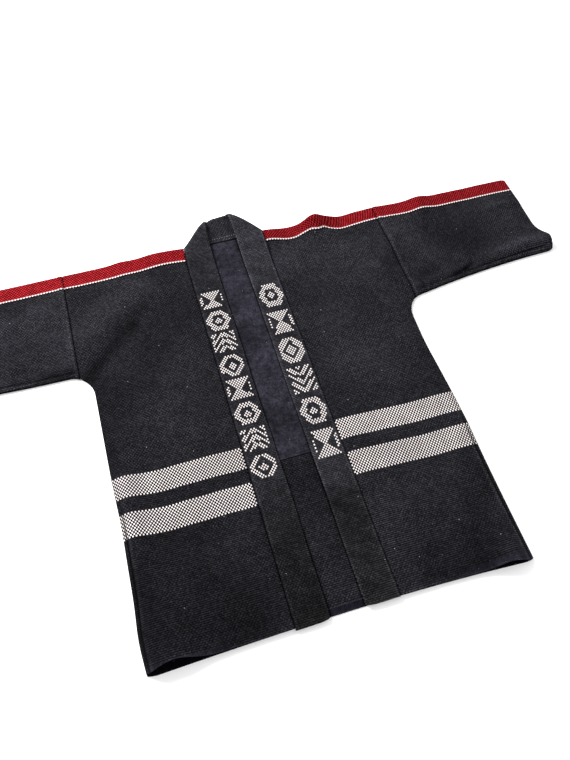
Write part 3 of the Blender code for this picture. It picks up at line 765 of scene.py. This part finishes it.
def half_collar(side):
    """Mid points of half the collar, from the hem end to the middle of the neck, one row for each section.

    The band is a straight strip: s runs along it and t across it from its seam. It goes up the front, turns a
    square corner by folding over along a diagonal, and passes under itself to run along the back of the neck.
    """
    t, _ = band_section()
    wide = t / COLLAR_WIDTH
    corner_s = SHOULDER_UP
    bend = CORNER_RADIUS * np.pi / 2
    low = HEM_RISE - BAND_END_DROP[side]
    bow = NECK_BOW[side] * np.sin(np.pi * wide) + NECK_TIP * wide**8
    inward = bow / DIAGONAL

    def neck_height(reach, hump=1.0):
        """Height of the standing neck at a reach from the middle of the coat."""
        stand = NECK_STAND + side * NECK_TILT * clamp(reach / NECK_FLAT)
        lift = NECK_HUMP[side] * hump * (1.0 - 0.6 * wide)
        return BAND / 2 + stand * wide**1.3 + lift

    sections = []
    shares = np.concatenate([[0.0, 0.0004, 0.0012, 0.0024], np.linspace(0.006, 1.0, 190)])
    for share in shares[:-1]:
        seam_s = low + share * (corner_s - DIAGONAL * bend - low)
        s = seam_s + share**3 * t
        corner = 0.0035 * wide**8 * math.exp(-share / 0.004)
        before = corner_s + t - s
        wave = 0.0004 * (1.0 + np.sin(38.0 * s + side)) * (1.0 - share**4)
        cross = crumple(0.25 * t + 0.2 * side, s, 0.024, 21) * bell(s - 0.17, 0.16)
        middle = np.sin(np.pi * clamp(wide)) ** 0.5
        soft = 0.00115 * cross * middle + 0.00030 * crumple(t + side, s, 0.013, 22)
        soft += 0.00045 * crumple(0.5 * t + side, s, 0.060, 23)
        wander = 0.0010 * crumple(0.0 * t + side, s, 0.110, 25) * wide**2 * (1.0 - share**4)
        height = neck_height(NECK_FLAT) + 2.0 * CORNER_RADIUS - BAND_MID
        rise = BAND_MID + wave + soft + height * bell(before, CORNER_FADE)
        shift = inward * bell(before, 0.030)
        sections.append((t + wander + shift, s + corner - shift, rise, s))
    for turn in np.linspace(-np.pi / 2, np.pi / 2, 19):
        u = CORNER_RADIUS * turn
        v = DIAGONAL * t + u
        out = -bend + CORNER_RADIUS * math.cos(turn) - bow
        x = (v - out) / DIAGONAL
        up = corner_s + (v + out) / DIAGONAL
        rise = neck_height(NECK_FLAT) + CORNER_RADIUS * (1.0 - math.sin(turn))
        sections.append((x, up, rise, corner_s + t + DIAGONAL * u))
    last_s = DIAGONAL * bend
    for share in np.linspace(0.05, 1.0, 20):
        s = (last_s + t) * (1.0 - share) + COLLAR_SEAM_X * share
        soft = 0.0004 * crumple(s + 0.1, t, 0.020, 24) * clamp(share * 3.0)
        soft = soft * clamp((1.0 - share) * 4.0)
        height = neck_height(COLLAR_SEAM_X - s, (1.0 - share) ** 2)
        shift = inward * (1.0 - share) ** 4
        sections.append((s + shift, corner_s + t - shift, height + soft, corner_s + s))
    points = np.stack([at(side * (COLLAR_SEAM_X - across), up, z) for across, up, z, _ in sections])
    length = np.stack([np.broadcast_to(s, t.shape) for _, _, _, s in sections])
    return points, length


def make_collar():
    """The whole band, from the right hem end round the neck to the left hem end."""
    t, half = band_section()
    right, right_length = half_collar(-1)
    left, left_length = half_collar(1)
    mid = np.concatenate([right, left[-2::-1]])
    length = np.concatenate([right_length, BAND_LENGTH - left_length[-2::-1]])
    cloth = np.stack([np.broadcast_to(t, length.shape), length], axis=-1)
    ends = np.minimum(length, BAND_LENGTH - length) - HEM_RISE + 0.0050
    # Wear at the ends; wear with painted highlight along the folded edge, on the ridge beside the seam and on the
    # folds of the neck corners.
    wear_and_highlight = 0.9 * np.exp(-(COLLAR_WIDTH - t) / 0.0032) + 0.75 * bell(t - 0.0034, 0.0012)
    wear_and_highlight = wear_and_highlight + np.exp(-ends / 0.0040)
    from_end = np.minimum(length, BAND_LENGTH - length)
    corner = bell(from_end - SHOULDER_UP - t, 0.012)
    wear_and_highlight = clamp(wear_and_highlight + 0.5 * corner)
    shade = np.broadcast_to(bell(t, 0.0008), length.shape)
    side = np.where(length < BAND_LENGTH / 2, -1.0, 1.0)
    tone = np.exp(folds(side * COLLAR_WIDTH, from_end, BAND_TONES))
    low = clamp(1.0 - from_end / 0.30)
    marks = {"wear_and_highlight": wear_and_highlight, "shade": shade, "tone": tone, "low": low}
    thick = np.broadcast_to(half, length.shape) * rounded(ends - 0.0006, 0.0022, 0.25)
    band = make_wall("collar_band", mid, thick, cloth, marks)
    column = int(np.argmin(np.abs(t - 0.0085)))
    line = mid[:, column] + (0.0, 0.0, BAND / 2)
    return band, line[(np.abs(line[:, 0]) < 0.060) & (line[:, 1] > SHOULDER_UP - HALF_DEPTH)]


def make_lining():
    """The lining of the upper back, with soft wrinkles and a turned lower edge."""
    across = np.linspace(-1.0, 1.0, 97) * LINING_HALF_WIDTH
    reach = np.abs(across)
    slope = clamp((reach - 0.25 * LINING_HALF_WIDTH) / (0.08 * LINING_HALF_WIDTH))
    top = SHOULDER_UP - GAP + (LINING_SHOULDER_UP - SHOULDER_UP + GAP) * slope
    shares = np.concatenate([[0.0, 0.001, 0.003], np.linspace(0.007, 1.0, 110)])[:, None]
    up = LINING_LOW_UP + shares * (top - LINING_LOW_UP)
    x = across + 0.0 * up
    edge = clamp((up - LINING_LOW_UP) / 0.02) * clamp((top - up) / 0.02)
    shows = clamp(1.0 - (np.abs(x) - 0.030) / 0.02)
    wrinkle = 0.0006 + 0.0004 * crumple(x, up, 0.034, 31) + 0.0002 * crumple(x, up, 0.012, 32)
    mid = at(x, up, LINING_MID + wrinkle * edge * shows)
    rim = np.minimum(up - LINING_LOW_UP, 1.0)
    half = LINING_CLOTH / 2 * rounded(rim, 0.0006, 0.3)
    marks = {"wear_and_highlight": np.exp(-rim / 0.002)}
    return make_wall("lining_cloth", mid, half, np.stack([x, up], axis=-1), marks)


def stitch_row(name, path, pitch, length, radius, wander):
    """A row of thread stitches along a path of points: short rounded lozenges on the cloth."""
    path = np.array(path)
    path = path[np.argsort(path[:, 0])]
    reach = np.concatenate([[0.0], np.cumsum(np.linalg.norm(np.diff(path, axis=0), axis=1))])
    side, rise = Vector((0.0, 1.0, 0.0)), Vector((0.0, 0.0, 1.0))
    points, quads = [], []
    for k in range(int(float(reach[-1]) / pitch)):
        shift = wander * math.sin(1.7 * k) * math.cos(0.6 * k)
        start = len(points)
        for along, fat, lift in STITCH_PROFILE:
            centre = (k + 0.5) * pitch + along * length
            place = Vector([float(np.interp(centre, reach, path[:, axis])) for axis in range(3)])
            base = place + side * shift + rise * (lift * radius)
            for corner in range(8):
                turn = corner * math.pi / 4
                points.append(base + (side * math.cos(turn) + rise * math.sin(turn) * 0.8) * radius * fat)
        for ring in range(len(STITCH_PROFILE) - 1):
            for corner in range(8):
                a, b = start + ring * 8 + corner, start + ring * 8 + (corner + 1) % 8
                quads.append((a, b, b + 8, a + 8))
        quads.append(tuple(range(start + 7, start - 1, -1)))
        quads.append(tuple(range(len(points) - 8, len(points))))
    mesh = bpy.data.meshes.new(name)
    mesh.from_pydata([tuple(p) for p in points], [], quads)
    mesh.shade_smooth()
    return link(name, mesh)


# Cloth.


class Signal:
    """One output in a material's graph. Sums, products, limits, ramps and mixes of signals add nodes to it."""

    def __init__(self, graph, socket):
        self.graph = graph
        self.socket = socket

    def math(self, operation, second=0.0, third=0.0):
        """One math node."""
        return self.graph.node("Math", {0: self, 1: second, 2: third}, operation=operation)

    def __add__(self, other):
        return self.math("ADD", other)

    def __sub__(self, other):
        return self.math("SUBTRACT", other)

    def __rsub__(self, other):
        return self.graph.node("Math", {0: other, 1: self}, operation="SUBTRACT")

    def __mul__(self, other):
        return self.math("MULTIPLY", other)

    def __gt__(self, limit):
        return self.math("GREATER_THAN", limit)

    def __lt__(self, limit):
        return self.math("LESS_THAN", limit)

    def __or__(self, other):
        """The greater one."""
        return self.math("MAXIMUM", other)

    def __abs__(self):
        return self.math("ABSOLUTE")

    def within(self, low, high):
        """1 between two limits."""
        return (self > low) * (self < high)

    def wave(self, pitch, kind="COSINE"):
        """A cosine or sine that repeats at a pitch."""
        return (self * (2.0 * math.pi / pitch)).math(kind)

    def ramp(self, low, high, to_low=0.0, to_high=1.0):
        """A smooth step from one value to another."""
        settings = {0: self, 1: low, 2: high, 3: to_low, 4: to_high}
        return self.graph.node("MapRange", settings, interpolation_type="SMOOTHSTEP")

    def mix(self, first, second):
        """A mix of two colours, with this share of the second."""
        return self.graph.node("Mix", {0: self, 6: first, 7: second}, 2, data_type="RGBA")

    def scale(self, colour):
        """A colour made this much lighter or darker."""
        return self.graph.node("VectorMath", {0: colour, 3: self}, operation="SCALE")

    def noise(self, scale, detail=2.0, roughness=0.5):
        """Noise about 0.5 over a place."""
        settings = {"Vector": self, "Scale": scale, "Detail": detail, "Roughness": roughness}
        return self.graph.node("TexNoise", settings, noise_dimensions="3D")

    def specks(self, scale, radius, share):
        """Sparse round specks, such as lint, over a place."""
        settings = {"Vector": self, "Scale": scale}
        cell = self.graph.node("TexVoronoi", settings, "Distance", voronoi_dimensions="2D")
        chosen = self.graph.node("SeparateColor", {0: cell.output("Color")})
        return cell.ramp(radius * scale * 0.5, radius * scale, 1.0, 0.0) * (chosen < share)

    def output(self, key):
        """Another output of the same node."""
        return Signal(self.graph, self.socket.node.outputs[key])


class Graph:
    """A new material and its nodes."""

    def __init__(self, name):
        self.material = bpy.data.materials.new(name)
        self.material.use_nodes = True
        self.tree = self.material.node_tree
        self.shader = self.tree.nodes["Principled BSDF"]

    def node(self, kind, inputs, output=0, **settings):
        """A new node with its settings and inputs, as a signal of one of its outputs."""
        node = self.tree.nodes.new("ShaderNode" + kind)
        for key, value in settings.items():
            setattr(node, key, value)
        for key, value in inputs.items():
            self.plug(node.inputs[key], value)
        return Signal(self, node.outputs[output])

    def plug(self, socket, value):
        """Link a socket, or set its value."""
        if isinstance(value, Signal):
            self.tree.links.new(value.socket, socket)
        elif socket.type == "RGBA":
            socket.default_value = (*value, 1.0)
        else:
            socket.default_value = value

    def attribute(self, name):
        """A named attribute of the mesh."""
        return self.node("Attribute", {}, "Fac", attribute_name=name)

    def cloth_place(self):
        """Place on the flat cloth in metres: across, along, and both."""
        place = self.node("UVMap", {}, uv_map="cloth")
        across = self.node("SeparateXYZ", {0: place})
        return across, across.output(1), place

    def surface(self, roughness, specular, sheen):
        """Dull cotton: hardly any gloss, and a little fuzz."""
        values = {"Roughness": roughness, "Specular IOR Level": specular, "Sheen Weight": sheen}
        values.update({"Sheen Roughness": 0.5, "Sheen Tint": (0.80, 0.80, 0.90)})
        for key, value in values.items():
            self.plug(self.shader.inputs[key], value)

    def finish(self, colour, height, distance, strength):
        """Colour and bump go into the shader."""
        self.plug(self.shader.inputs["Base Color"], colour)
        bump = self.node("Bump", {"Strength": strength, "Distance": distance, "Height": height})
        self.plug(self.shader.inputs["Normal"], bump)
        return self.material


def sashiko(across, along):
    """The double weave: a checkerboard of raised dots, each a few threads wide.

    It gives the height of the weave, how much of a dot shows, the dot's own place and its random value.
    """
    column = across * (1.0 / DOT_PITCH_ACROSS)
    row = along * (1.0 / DOT_PITCH_ALONG)
    first, second = column + row, column - row
    first_dot, second_dot = first.math("ROUND"), second.math("ROUND")
    height = (first.wave(1.0) + second.wave(1.0)) * 0.5
    dot_across = (first_dot + second_dot) * (DOT_PITCH_ACROSS / 2)
    dot_along = (first_dot - second_dot) * (DOT_PITCH_ALONG / 2)
    pair = across.graph.node("CombineXYZ", {0: first_dot, 1: second_dot})
    chance = across.graph.node("TexWhiteNoise", {"Vector": pair}, "Value", noise_dimensions="2D")
    return height, height.ramp(-0.30, 0.35), dot_across, dot_along, chance


def ribbed(height, along, place):
    """Dots of the dark cloth, which run together into rows here and there, under a worn and fuzzy face."""
    low = abs(along).ramp(0.48, 0.74, 0.0, 0.16)
    share = place.noise(15.0).ramp(0.35, 0.65, 0.24, 0.62) - low
    rows = along.wave(DOT_PITCH_ALONG / 2) * (0.80 - share)
    grain = (place.noise(330.0, 3.0, 0.75) - 0.5) * 3.6
    return (height * share + rows + grain).ramp(-0.62, 0.80)


def edge_shadow(distance, reach):
    """Shade on a lower cloth beside the edge of the cloth that lies on it."""
    return distance.ramp(0.0, reach, 0.10, 1.0)


def thread_relief(across, height, dot, grain):
    """Height of the threads that make up the dots, on top of the dots."""
    return dot * 0.75 + height * 0.25 + across.wave(0.00094, "SINE") * 0.06 + grain * 0.25


BODY_GROUND = (0.0025, 0.0024, 0.0034)
BODY_DOT = (0.0234, 0.0228, 0.0274)
FACING = (0.0068, 0.0065, 0.0100)
HEM_STRIP = (0.0130, 0.0125, 0.0180)
WHITE_DOT = (0.72, 0.668, 0.656)
WHITE_GROUND = (0.0036, 0.0030, 0.0042)
MOTIF_DOT = (0.595, 0.556, 0.550)
MOTIF_GAP = (0.0070, 0.0062, 0.0072)
RED_DOT = (0.358, 0.0143, 0.0196)
RED_GROUND = (0.020, 0.0008, 0.0016)
BORDER_GAP = (0.260, 0.150, 0.155)
BAND_GROUND = (0.0040, 0.0039, 0.0049)
BAND_DOT = (0.0208, 0.0201, 0.0242)
BAND_LOW_GROUND = (0.0022, 0.0022, 0.0026)
BAND_LOW_DOT = (0.0184, 0.0185, 0.0195)
LINING_DARK = (0.0106, 0.0100, 0.0146)
LINING_PALE = (0.0158, 0.0150, 0.0204)
LINT = (0.38, 0.37, 0.38)
PALE_THREAD = (0.120, 0.116, 0.128)
DARK_THREAD = (0.015, 0.014, 0.021)
# Reach of the shade beside the bands and under the neck, and where the fronts' edges leave the lining open.
BAND_SHADE = 0.0032
NECK_SHADE = 0.0040
OPEN_X = COLLAR_SEAM_X - COLLAR_WIDTH
# Facing turned up inside the hem, and the strip of the hem's outer face near the side seams.
FACING_UP = 0.0115
HEM_STRIP_UP = (0.0088, 0.0068)
HEM_STRIP_X = (0.170, 0.215)


def coat_cloth(name, stripes, tone):
    """Sashiko cloth of the body or of a sleeve, with the red shoulder and its white border, and the stripes."""
    graph = Graph(name)
    across, along, place = graph.cloth_place()
    height, dot, _, dot_along, chance = sashiko(across, along)
    inside = graph.attribute("inside") > 0.5
    outside = 1.0 - inside
    red = (abs(dot_along) < RED_DEPTH) * outside
    fade = place.noise(9.0, 3.0, 0.55)
    cloud = place.noise(42.0, 3.0, 0.6)
    fuzz = place.noise(900.0, 2.0, 0.6)
    tint = fade.ramp(0.30, 0.72, 0.84 * tone, 1.20 * tone) * cloud.ramp(0.25, 0.75, 0.88, 1.12)
    # Wear and painted highlights make the cloth lighter; the tone attribute adds painted light and shade and other
    # lighter and darker places.
    tint = tint * chance.ramp(0.0, 1.0, 0.74, 1.26) * graph.attribute("wear_and_highlight").ramp(0.0, 1.0, 1.0, 1.9)
    tint = tint * graph.attribute("tone")
    rose = height.ramp(-0.24, 0.46).mix(RED_GROUND, RED_DOT)
    rose = (chance.ramp(0.0, 1.0, 0.76, 1.20) * fuzz.ramp(0.3, 0.7, 0.9, 1.1)).scale(rose)
    rose = across.ramp(-0.10, 0.15, 1.0, 0.80).scale(rose)
    colour = red.mix(tint.scale(ribbed(height, along, place).mix(BODY_GROUND, BODY_DOT)), rose)
    if stripes:
        soil = (fade * cloud).ramp(0.16, 0.36, 0.82, 1.0)
        pale = height.ramp(0.08, 0.30).mix(WHITE_GROUND, soil.scale(WHITE_DOT))
        for top, low in STRIPES:
            colour = (abs(dot_along).within(top, low) * outside).mix(colour, pale)
    colour = border_row(colour, across, along, outside)
    depth, reach = abs(along), abs(across)
    facing = inside * (depth > SHOULDER_UP - HEM_RISE - FACING_UP)
    colour = facing.mix(colour, tint.scale(FACING))
    strip = depth.ramp(*(SHOULDER_UP - up for up in HEM_STRIP_UP)) * outside * reach.ramp(*HEM_STRIP_X, 0.0, 0.8)
    colour = strip.mix(colour, tint.scale(HEM_STRIP))
    colour = place.specks(11.0, 0.0007, 0.55).mix(colour, LINT)
    colour = (place.specks(47.0, 0.0004, 0.35) * 0.5).mix(colour, LINT)
    dark = graph.attribute("shade").ramp(0.0, 1.0, 1.0, 0.08) | red * 0.55
    covered = inside * (reach < COLLAR_SEAM_X)
    dark = dark * (edge_shadow(OPEN_X - reach, BAND_SHADE) | 1.0 - covered)
    graph.surface(0.95, 0.015, 0.006)
    return graph.finish(dark.scale(colour), thread_relief(across, height, dot, fuzz), 0.0007, 0.75)


def border_row(colour, across, along, outside):
    """The row of white stitches under the red, with pink gaps between them and a dark row right below."""
    depth = abs(along) + across.math("PINGPONG", DOT_PITCH_ACROSS / 2) * 0.42
    line = abs(depth - (BORDER_DEPTH + 0.0002)).ramp(0.0009, 0.0016, 1.0, 0.0)
    dark = abs(depth - (BORDER_DEPTH + 0.0032)).ramp(0.0009, 0.0017, 1.0, 0.0)
    thread = across.wave(DOT_PITCH_ACROSS).ramp(-0.75, 0.25).mix(BORDER_GAP, WHITE_DOT)
    return (line * outside).mix((dark * outside).mix(colour, WHITE_GROUND), thread)


def diamonds(wide, tall, _):
    """Concentric diamonds, cut off square at the sides."""
    size = (wide + tall) * (1 / 0.0290)
    rings = size.within(0.62, 1.08) | (size < 0.32)
    return rings * (wide < 0.0225) * (tall < 0.0222)


def chevrons(wide, tall, y):
    """Zigzag bars under each other."""
    bar = (y + wide * 0.80 + 0.0500).math("PINGPONG", 0.0070) < 0.0043
    return bar * (wide < 0.0222) * (tall < 0.0215)


def hexagons(wide, tall, _):
    """A hexagon round a small one."""
    size = (tall | wide * 0.866 + tall * 0.5) * (1 / 0.0212)
    return size.within(0.56, 1.03) | (size < 0.30)


def drums(wide, tall, _):
    """Two triangles tip to tip, with a bar on each side."""
    triangles = wide < tall * 0.92 + 0.0034
    bars = (wide > 0.0175) * (tall < 0.0100)
    return (triangles | bars) * (tall < 0.0212) * (wide < 0.0225)


MOTIF_MAKERS = (diamonds, chevrons, hexagons, drums)
MOTIF_PITCH = 0.0528
MOTIF_MIDDLE = COLLAR_WIDTH / 2 - 0.0005
# Columns of woven figures on the two bands. Columns: place of the first one's start along the band, pitch, count,
# the first figure's number.
MOTIF_COLUMNS = (
    (0.2410, MOTIF_PITCH, 8, 0),
    (BAND_LENGTH - 0.6480, 0.0672, 6, 2),
)


def woven_figures(dot_across, dot_along):
    """Where the dots of the band are white: a column of figures on each front, in turn of each kind."""
    wide = abs(dot_across - MOTIF_MIDDLE)
    columns = []
    for start, pitch, count, first in MOTIF_COLUMNS:
        step = (dot_along - start) * (1.0 / pitch)
        number = step.math("FLOOR")
        y = (step - number - 0.5) * MOTIF_PITCH
        turn = (number + first).math("MODULO", float(len(MOTIF_MAKERS)))
        figures = [
            maker(wide, abs(y), y) * turn.math("COMPARE", float(kind), 0.25)
            for kind, maker in enumerate(MOTIF_MAKERS)
        ]
        columns.append(reduce(operator.or_, figures) * number.within(-0.5, count - 0.5))
    return reduce(operator.or_, columns)


def band_cloth(name):
    """Cloth of the collar, with a column of woven geometric figures on each front."""
    graph = Graph(name)
    across, along, place = graph.cloth_place()
    height, dot, dot_across, dot_along, chance = sashiko(across, along)
    outside = graph.attribute("inside") > 0.5
    white = woven_figures(dot_across, dot_along) * outside
    fade = place.noise(11.0, 3.0, 0.55)
    cloud = place.noise(60.0, 3.0, 0.6)
    fuzz = place.noise(900.0, 2.0, 0.6)
    # Painted light and shade of the band's puckers, as patches that run across the band.
    pucker_light = graph.node("CombineXYZ", {0: across * 0.35, 1: along + across * 0.4}).noise(44.0)
    tint = fade.ramp(0.30, 0.72, 0.86, 1.16) * cloud.ramp(0.25, 0.75, 0.80, 1.20)
    tint = tint * chance.ramp(0.0, 1.0, 0.76, 1.24) * pucker_light.ramp(0.30, 0.70, 0.80, 1.24)
    # Wear and painted highlights make the band lighter.
    tint = tint * graph.attribute("wear_and_highlight").ramp(0.0, 1.0, 1.0, 1.9) * graph.attribute("tone")
    weave = ribbed(height, along, place)
    low = weave.mix(BAND_LOW_GROUND, BAND_LOW_DOT)
    plain = tint.scale(graph.attribute("low").mix(weave.mix(BAND_GROUND, BAND_DOT), low))
    soil = cloud.ramp(0.3, 0.7, 0.84, 1.08)
    colour = white.mix(plain, height.ramp(-0.04, 0.30).mix(MOTIF_GAP, soil.scale(MOTIF_DOT)))
    colour = place.specks(14.0, 0.0006, 0.5).mix(colour, LINT)
    colour = graph.attribute("shade").ramp(0.0, 1.0, 1.0, 0.2).scale(colour)
    graph.surface(0.92, 0.015, 0.006)
    return graph.finish(colour, thread_relief(across, height, dot, fuzz), 0.0005, 0.65)


def plain_cloth(name):
    """Smooth plain-woven cotton of the lining."""
    graph = Graph(name)
    across, along, place = graph.cloth_place()
    fade = place.noise(16.0, 4.0, 0.6)
    tint = fade.ramp(0.30, 0.72, 0.66, 1.42) * place.noise(90.0, 3.0, 0.6).ramp(0.28, 0.72, 0.62, 1.44)
    tint = tint * place.noise(300.0, 3.0, 0.7).ramp(0.25, 0.75, 0.45, 1.62)
    tint = tint * graph.attribute("wear_and_highlight").ramp(0.0, 1.0, 1.0, 1.5)
    tint = tint * edge_shadow(OPEN_X - abs(across), BAND_SHADE) * edge_shadow(SHOULDER_UP - GAP - along, NECK_SHADE)
    colour = tint.scale(fade.mix(LINING_DARK, LINING_PALE))
    colour = place.specks(22.0, 0.0005, 0.5).mix(colour, LINT)
    graph.surface(0.90, 0.020, 0.008)
    weave = across.wave(0.0007, "SINE") * 0.5 + along.wave(0.0008, "SINE") * 0.5
    return graph.finish(colour, weave, 0.0001, 0.5)


def thread_cloth(name, colour):
    """Twisted sewing thread."""
    graph = Graph(name)
    twist = graph.node("TexCoord", {}, "Object").noise(1400.0, 2.0, 0.6)
    graph.plug(graph.shader.inputs["Roughness"], 0.8)
    return graph.finish(twist.mix(colour, tuple(min(1.0, 1.5 * c) for c in colour)), twist, 0.0002, 0.5)


# The coat.


def put_on(piece, node, material):
    """A made piece gets its cloth and stands for its CAD node, which is hidden; it rides with the coat."""
    piece.data.materials.append(material)
    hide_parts(node)
    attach(piece, "root")


def trim(piece, material):
    """A thread piece rides with the coat."""
    piece.data.materials.append(material)
    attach(piece, "root")


# Each piece's cloth has its own tone, which paints in part of the light: the right sleeve, on the side of the key
# light, is the lightest.
body = make_body()
put_on(body, "body", coat_cloth("body_sashiko", True, 0.89))
for side, word, tone in ((-1, "right", 1.02), (1, "left", 0.92)):
    sleeve = make_sleeve(f"sleeve_{word}_cloth", side)
    put_on(sleeve, f"sleeve_{word}", coat_cloth(f"sleeve_{word}_sashiko", False, tone))
collar, neck_line = make_collar()
put_on(collar, "collar", band_cloth("collar_sashiko"))
lining = make_lining()
put_on(lining, "lining", plain_cloth("lining_cotton"))

# Sizes of the stitches: pitch, length, radius, wander.
NECK_STITCH = (0.0052, 0.0030, 0.00050, 0.0003)
PLAIN_STITCH = (0.0030, 0.0022, 0.00032, 0.00015)
pale_thread = thread_cloth("pale_thread", PALE_THREAD)
dark_thread = thread_cloth("dark_thread", DARK_THREAD)
trim(stitch_row("neck_stitches", neck_line, *NECK_STITCH), pale_thread)
# Plain rows of stitches. Columns: name, up, half length, height.
STITCH_ROWS = (
    ("lining_stitches_0", LINING_LOW_UP + 0.0020, 0.060, LINING_MID + LINING_CLOTH / 2),
    ("lining_stitches_1", LINING_LOW_UP + 0.0075, 0.060, LINING_MID + LINING_CLOTH / 2),
    ("back_stitches", 0.184, 0.060, CLOTH),
    ("hem_stitches", HEM_RISE + 0.0120, 0.200, CLOTH),
)
for name, up, half, height in STITCH_ROWS:
    ends = ((-half, up - HALF_DEPTH, height), (half, up - HALF_DEPTH, height))
    trim(stitch_row(name, ends, *PLAIN_STITCH), dark_thread)


# Floor, light and camera.


def make_floor():
    """A plain pale floor."""
    size, z = 5.0, -0.0004
    mesh = bpy.data.meshes.new("floor")
    corners = [(-size, -size, z), (size, -size, z), (size, size, z), (-size, size, z)]
    mesh.from_pydata(corners, [], [(0, 1, 2, 3)])
    paper = Graph("floor_paper")
    for key, value in {"Base Color": (0.98, 0.98, 0.98), "Roughness": 1.0, "Specular IOR Level": 0.0}.items():
        paper.plug(paper.shader.inputs[key], value)
    mesh.materials.append(paper.material)
    floor = link("floor", mesh)


# Soft lights. Columns: name, place, aim, size, power, colour.
LIGHTS = (
    ("key", (-1.4, 2.3, 2.0), (-0.1, 0.1, 0.0), 1.3, 232.0, (1.0, 0.99, 0.98)),
    ("fill", (0.6, -1.6, 1.9), (0.0, 0.0, 0.0), 1.8, 8.0, (0.97, 0.98, 1.0)),
)


def area_light(name, place, aim, size, power, colour):
    """A square soft light that looks at a point."""
    data = bpy.data.lights.new(name, "AREA")
    data.shape = "SQUARE"
    data.size = size
    data.energy = power
    data.color = colour
    light = link(name, data)
    light.location = place
    light.rotation_mode = "QUATERNION"
    light.rotation_quaternion = (Vector(aim) - Vector(place)).to_track_quat("-Z", "Y")


def make_world():
    """Even pale surroundings."""
    bpy.context.scene.view_settings.view_transform = "Standard"
    world = bpy.data.worlds.new("surroundings")
    world.use_nodes = True
    sky = world.node_tree.nodes["Background"]
    sky.inputs["Color"].default_value = (1.0, 1.0, 1.0, 1.0)
    sky.inputs["Strength"].default_value = 0.95
    bpy.context.scene.world = world


def make_camera():
    """The camera at the photograph's angle."""
    data = bpy.data.cameras.new("camera")
    data.sensor_width = SENSOR
    data.lens = FOCAL_PIXELS / PHOTO_HEIGHT * SENSOR
    camera = link("camera", data)
    right, down, forward = Vector(CAMERA_RIGHT), Vector(CAMERA_DOWN), Vector(CAMERA_FORWARD)
    turn = Matrix((right, -down, -forward)).transposed().to_4x4()
    camera.matrix_world = Matrix.Translation(CAMERA_PLACE) @ turn
    bpy.context.scene.camera = camera


make_floor()
make_world()
for light in LIGHTS:
    area_light(*light)
make_camera()
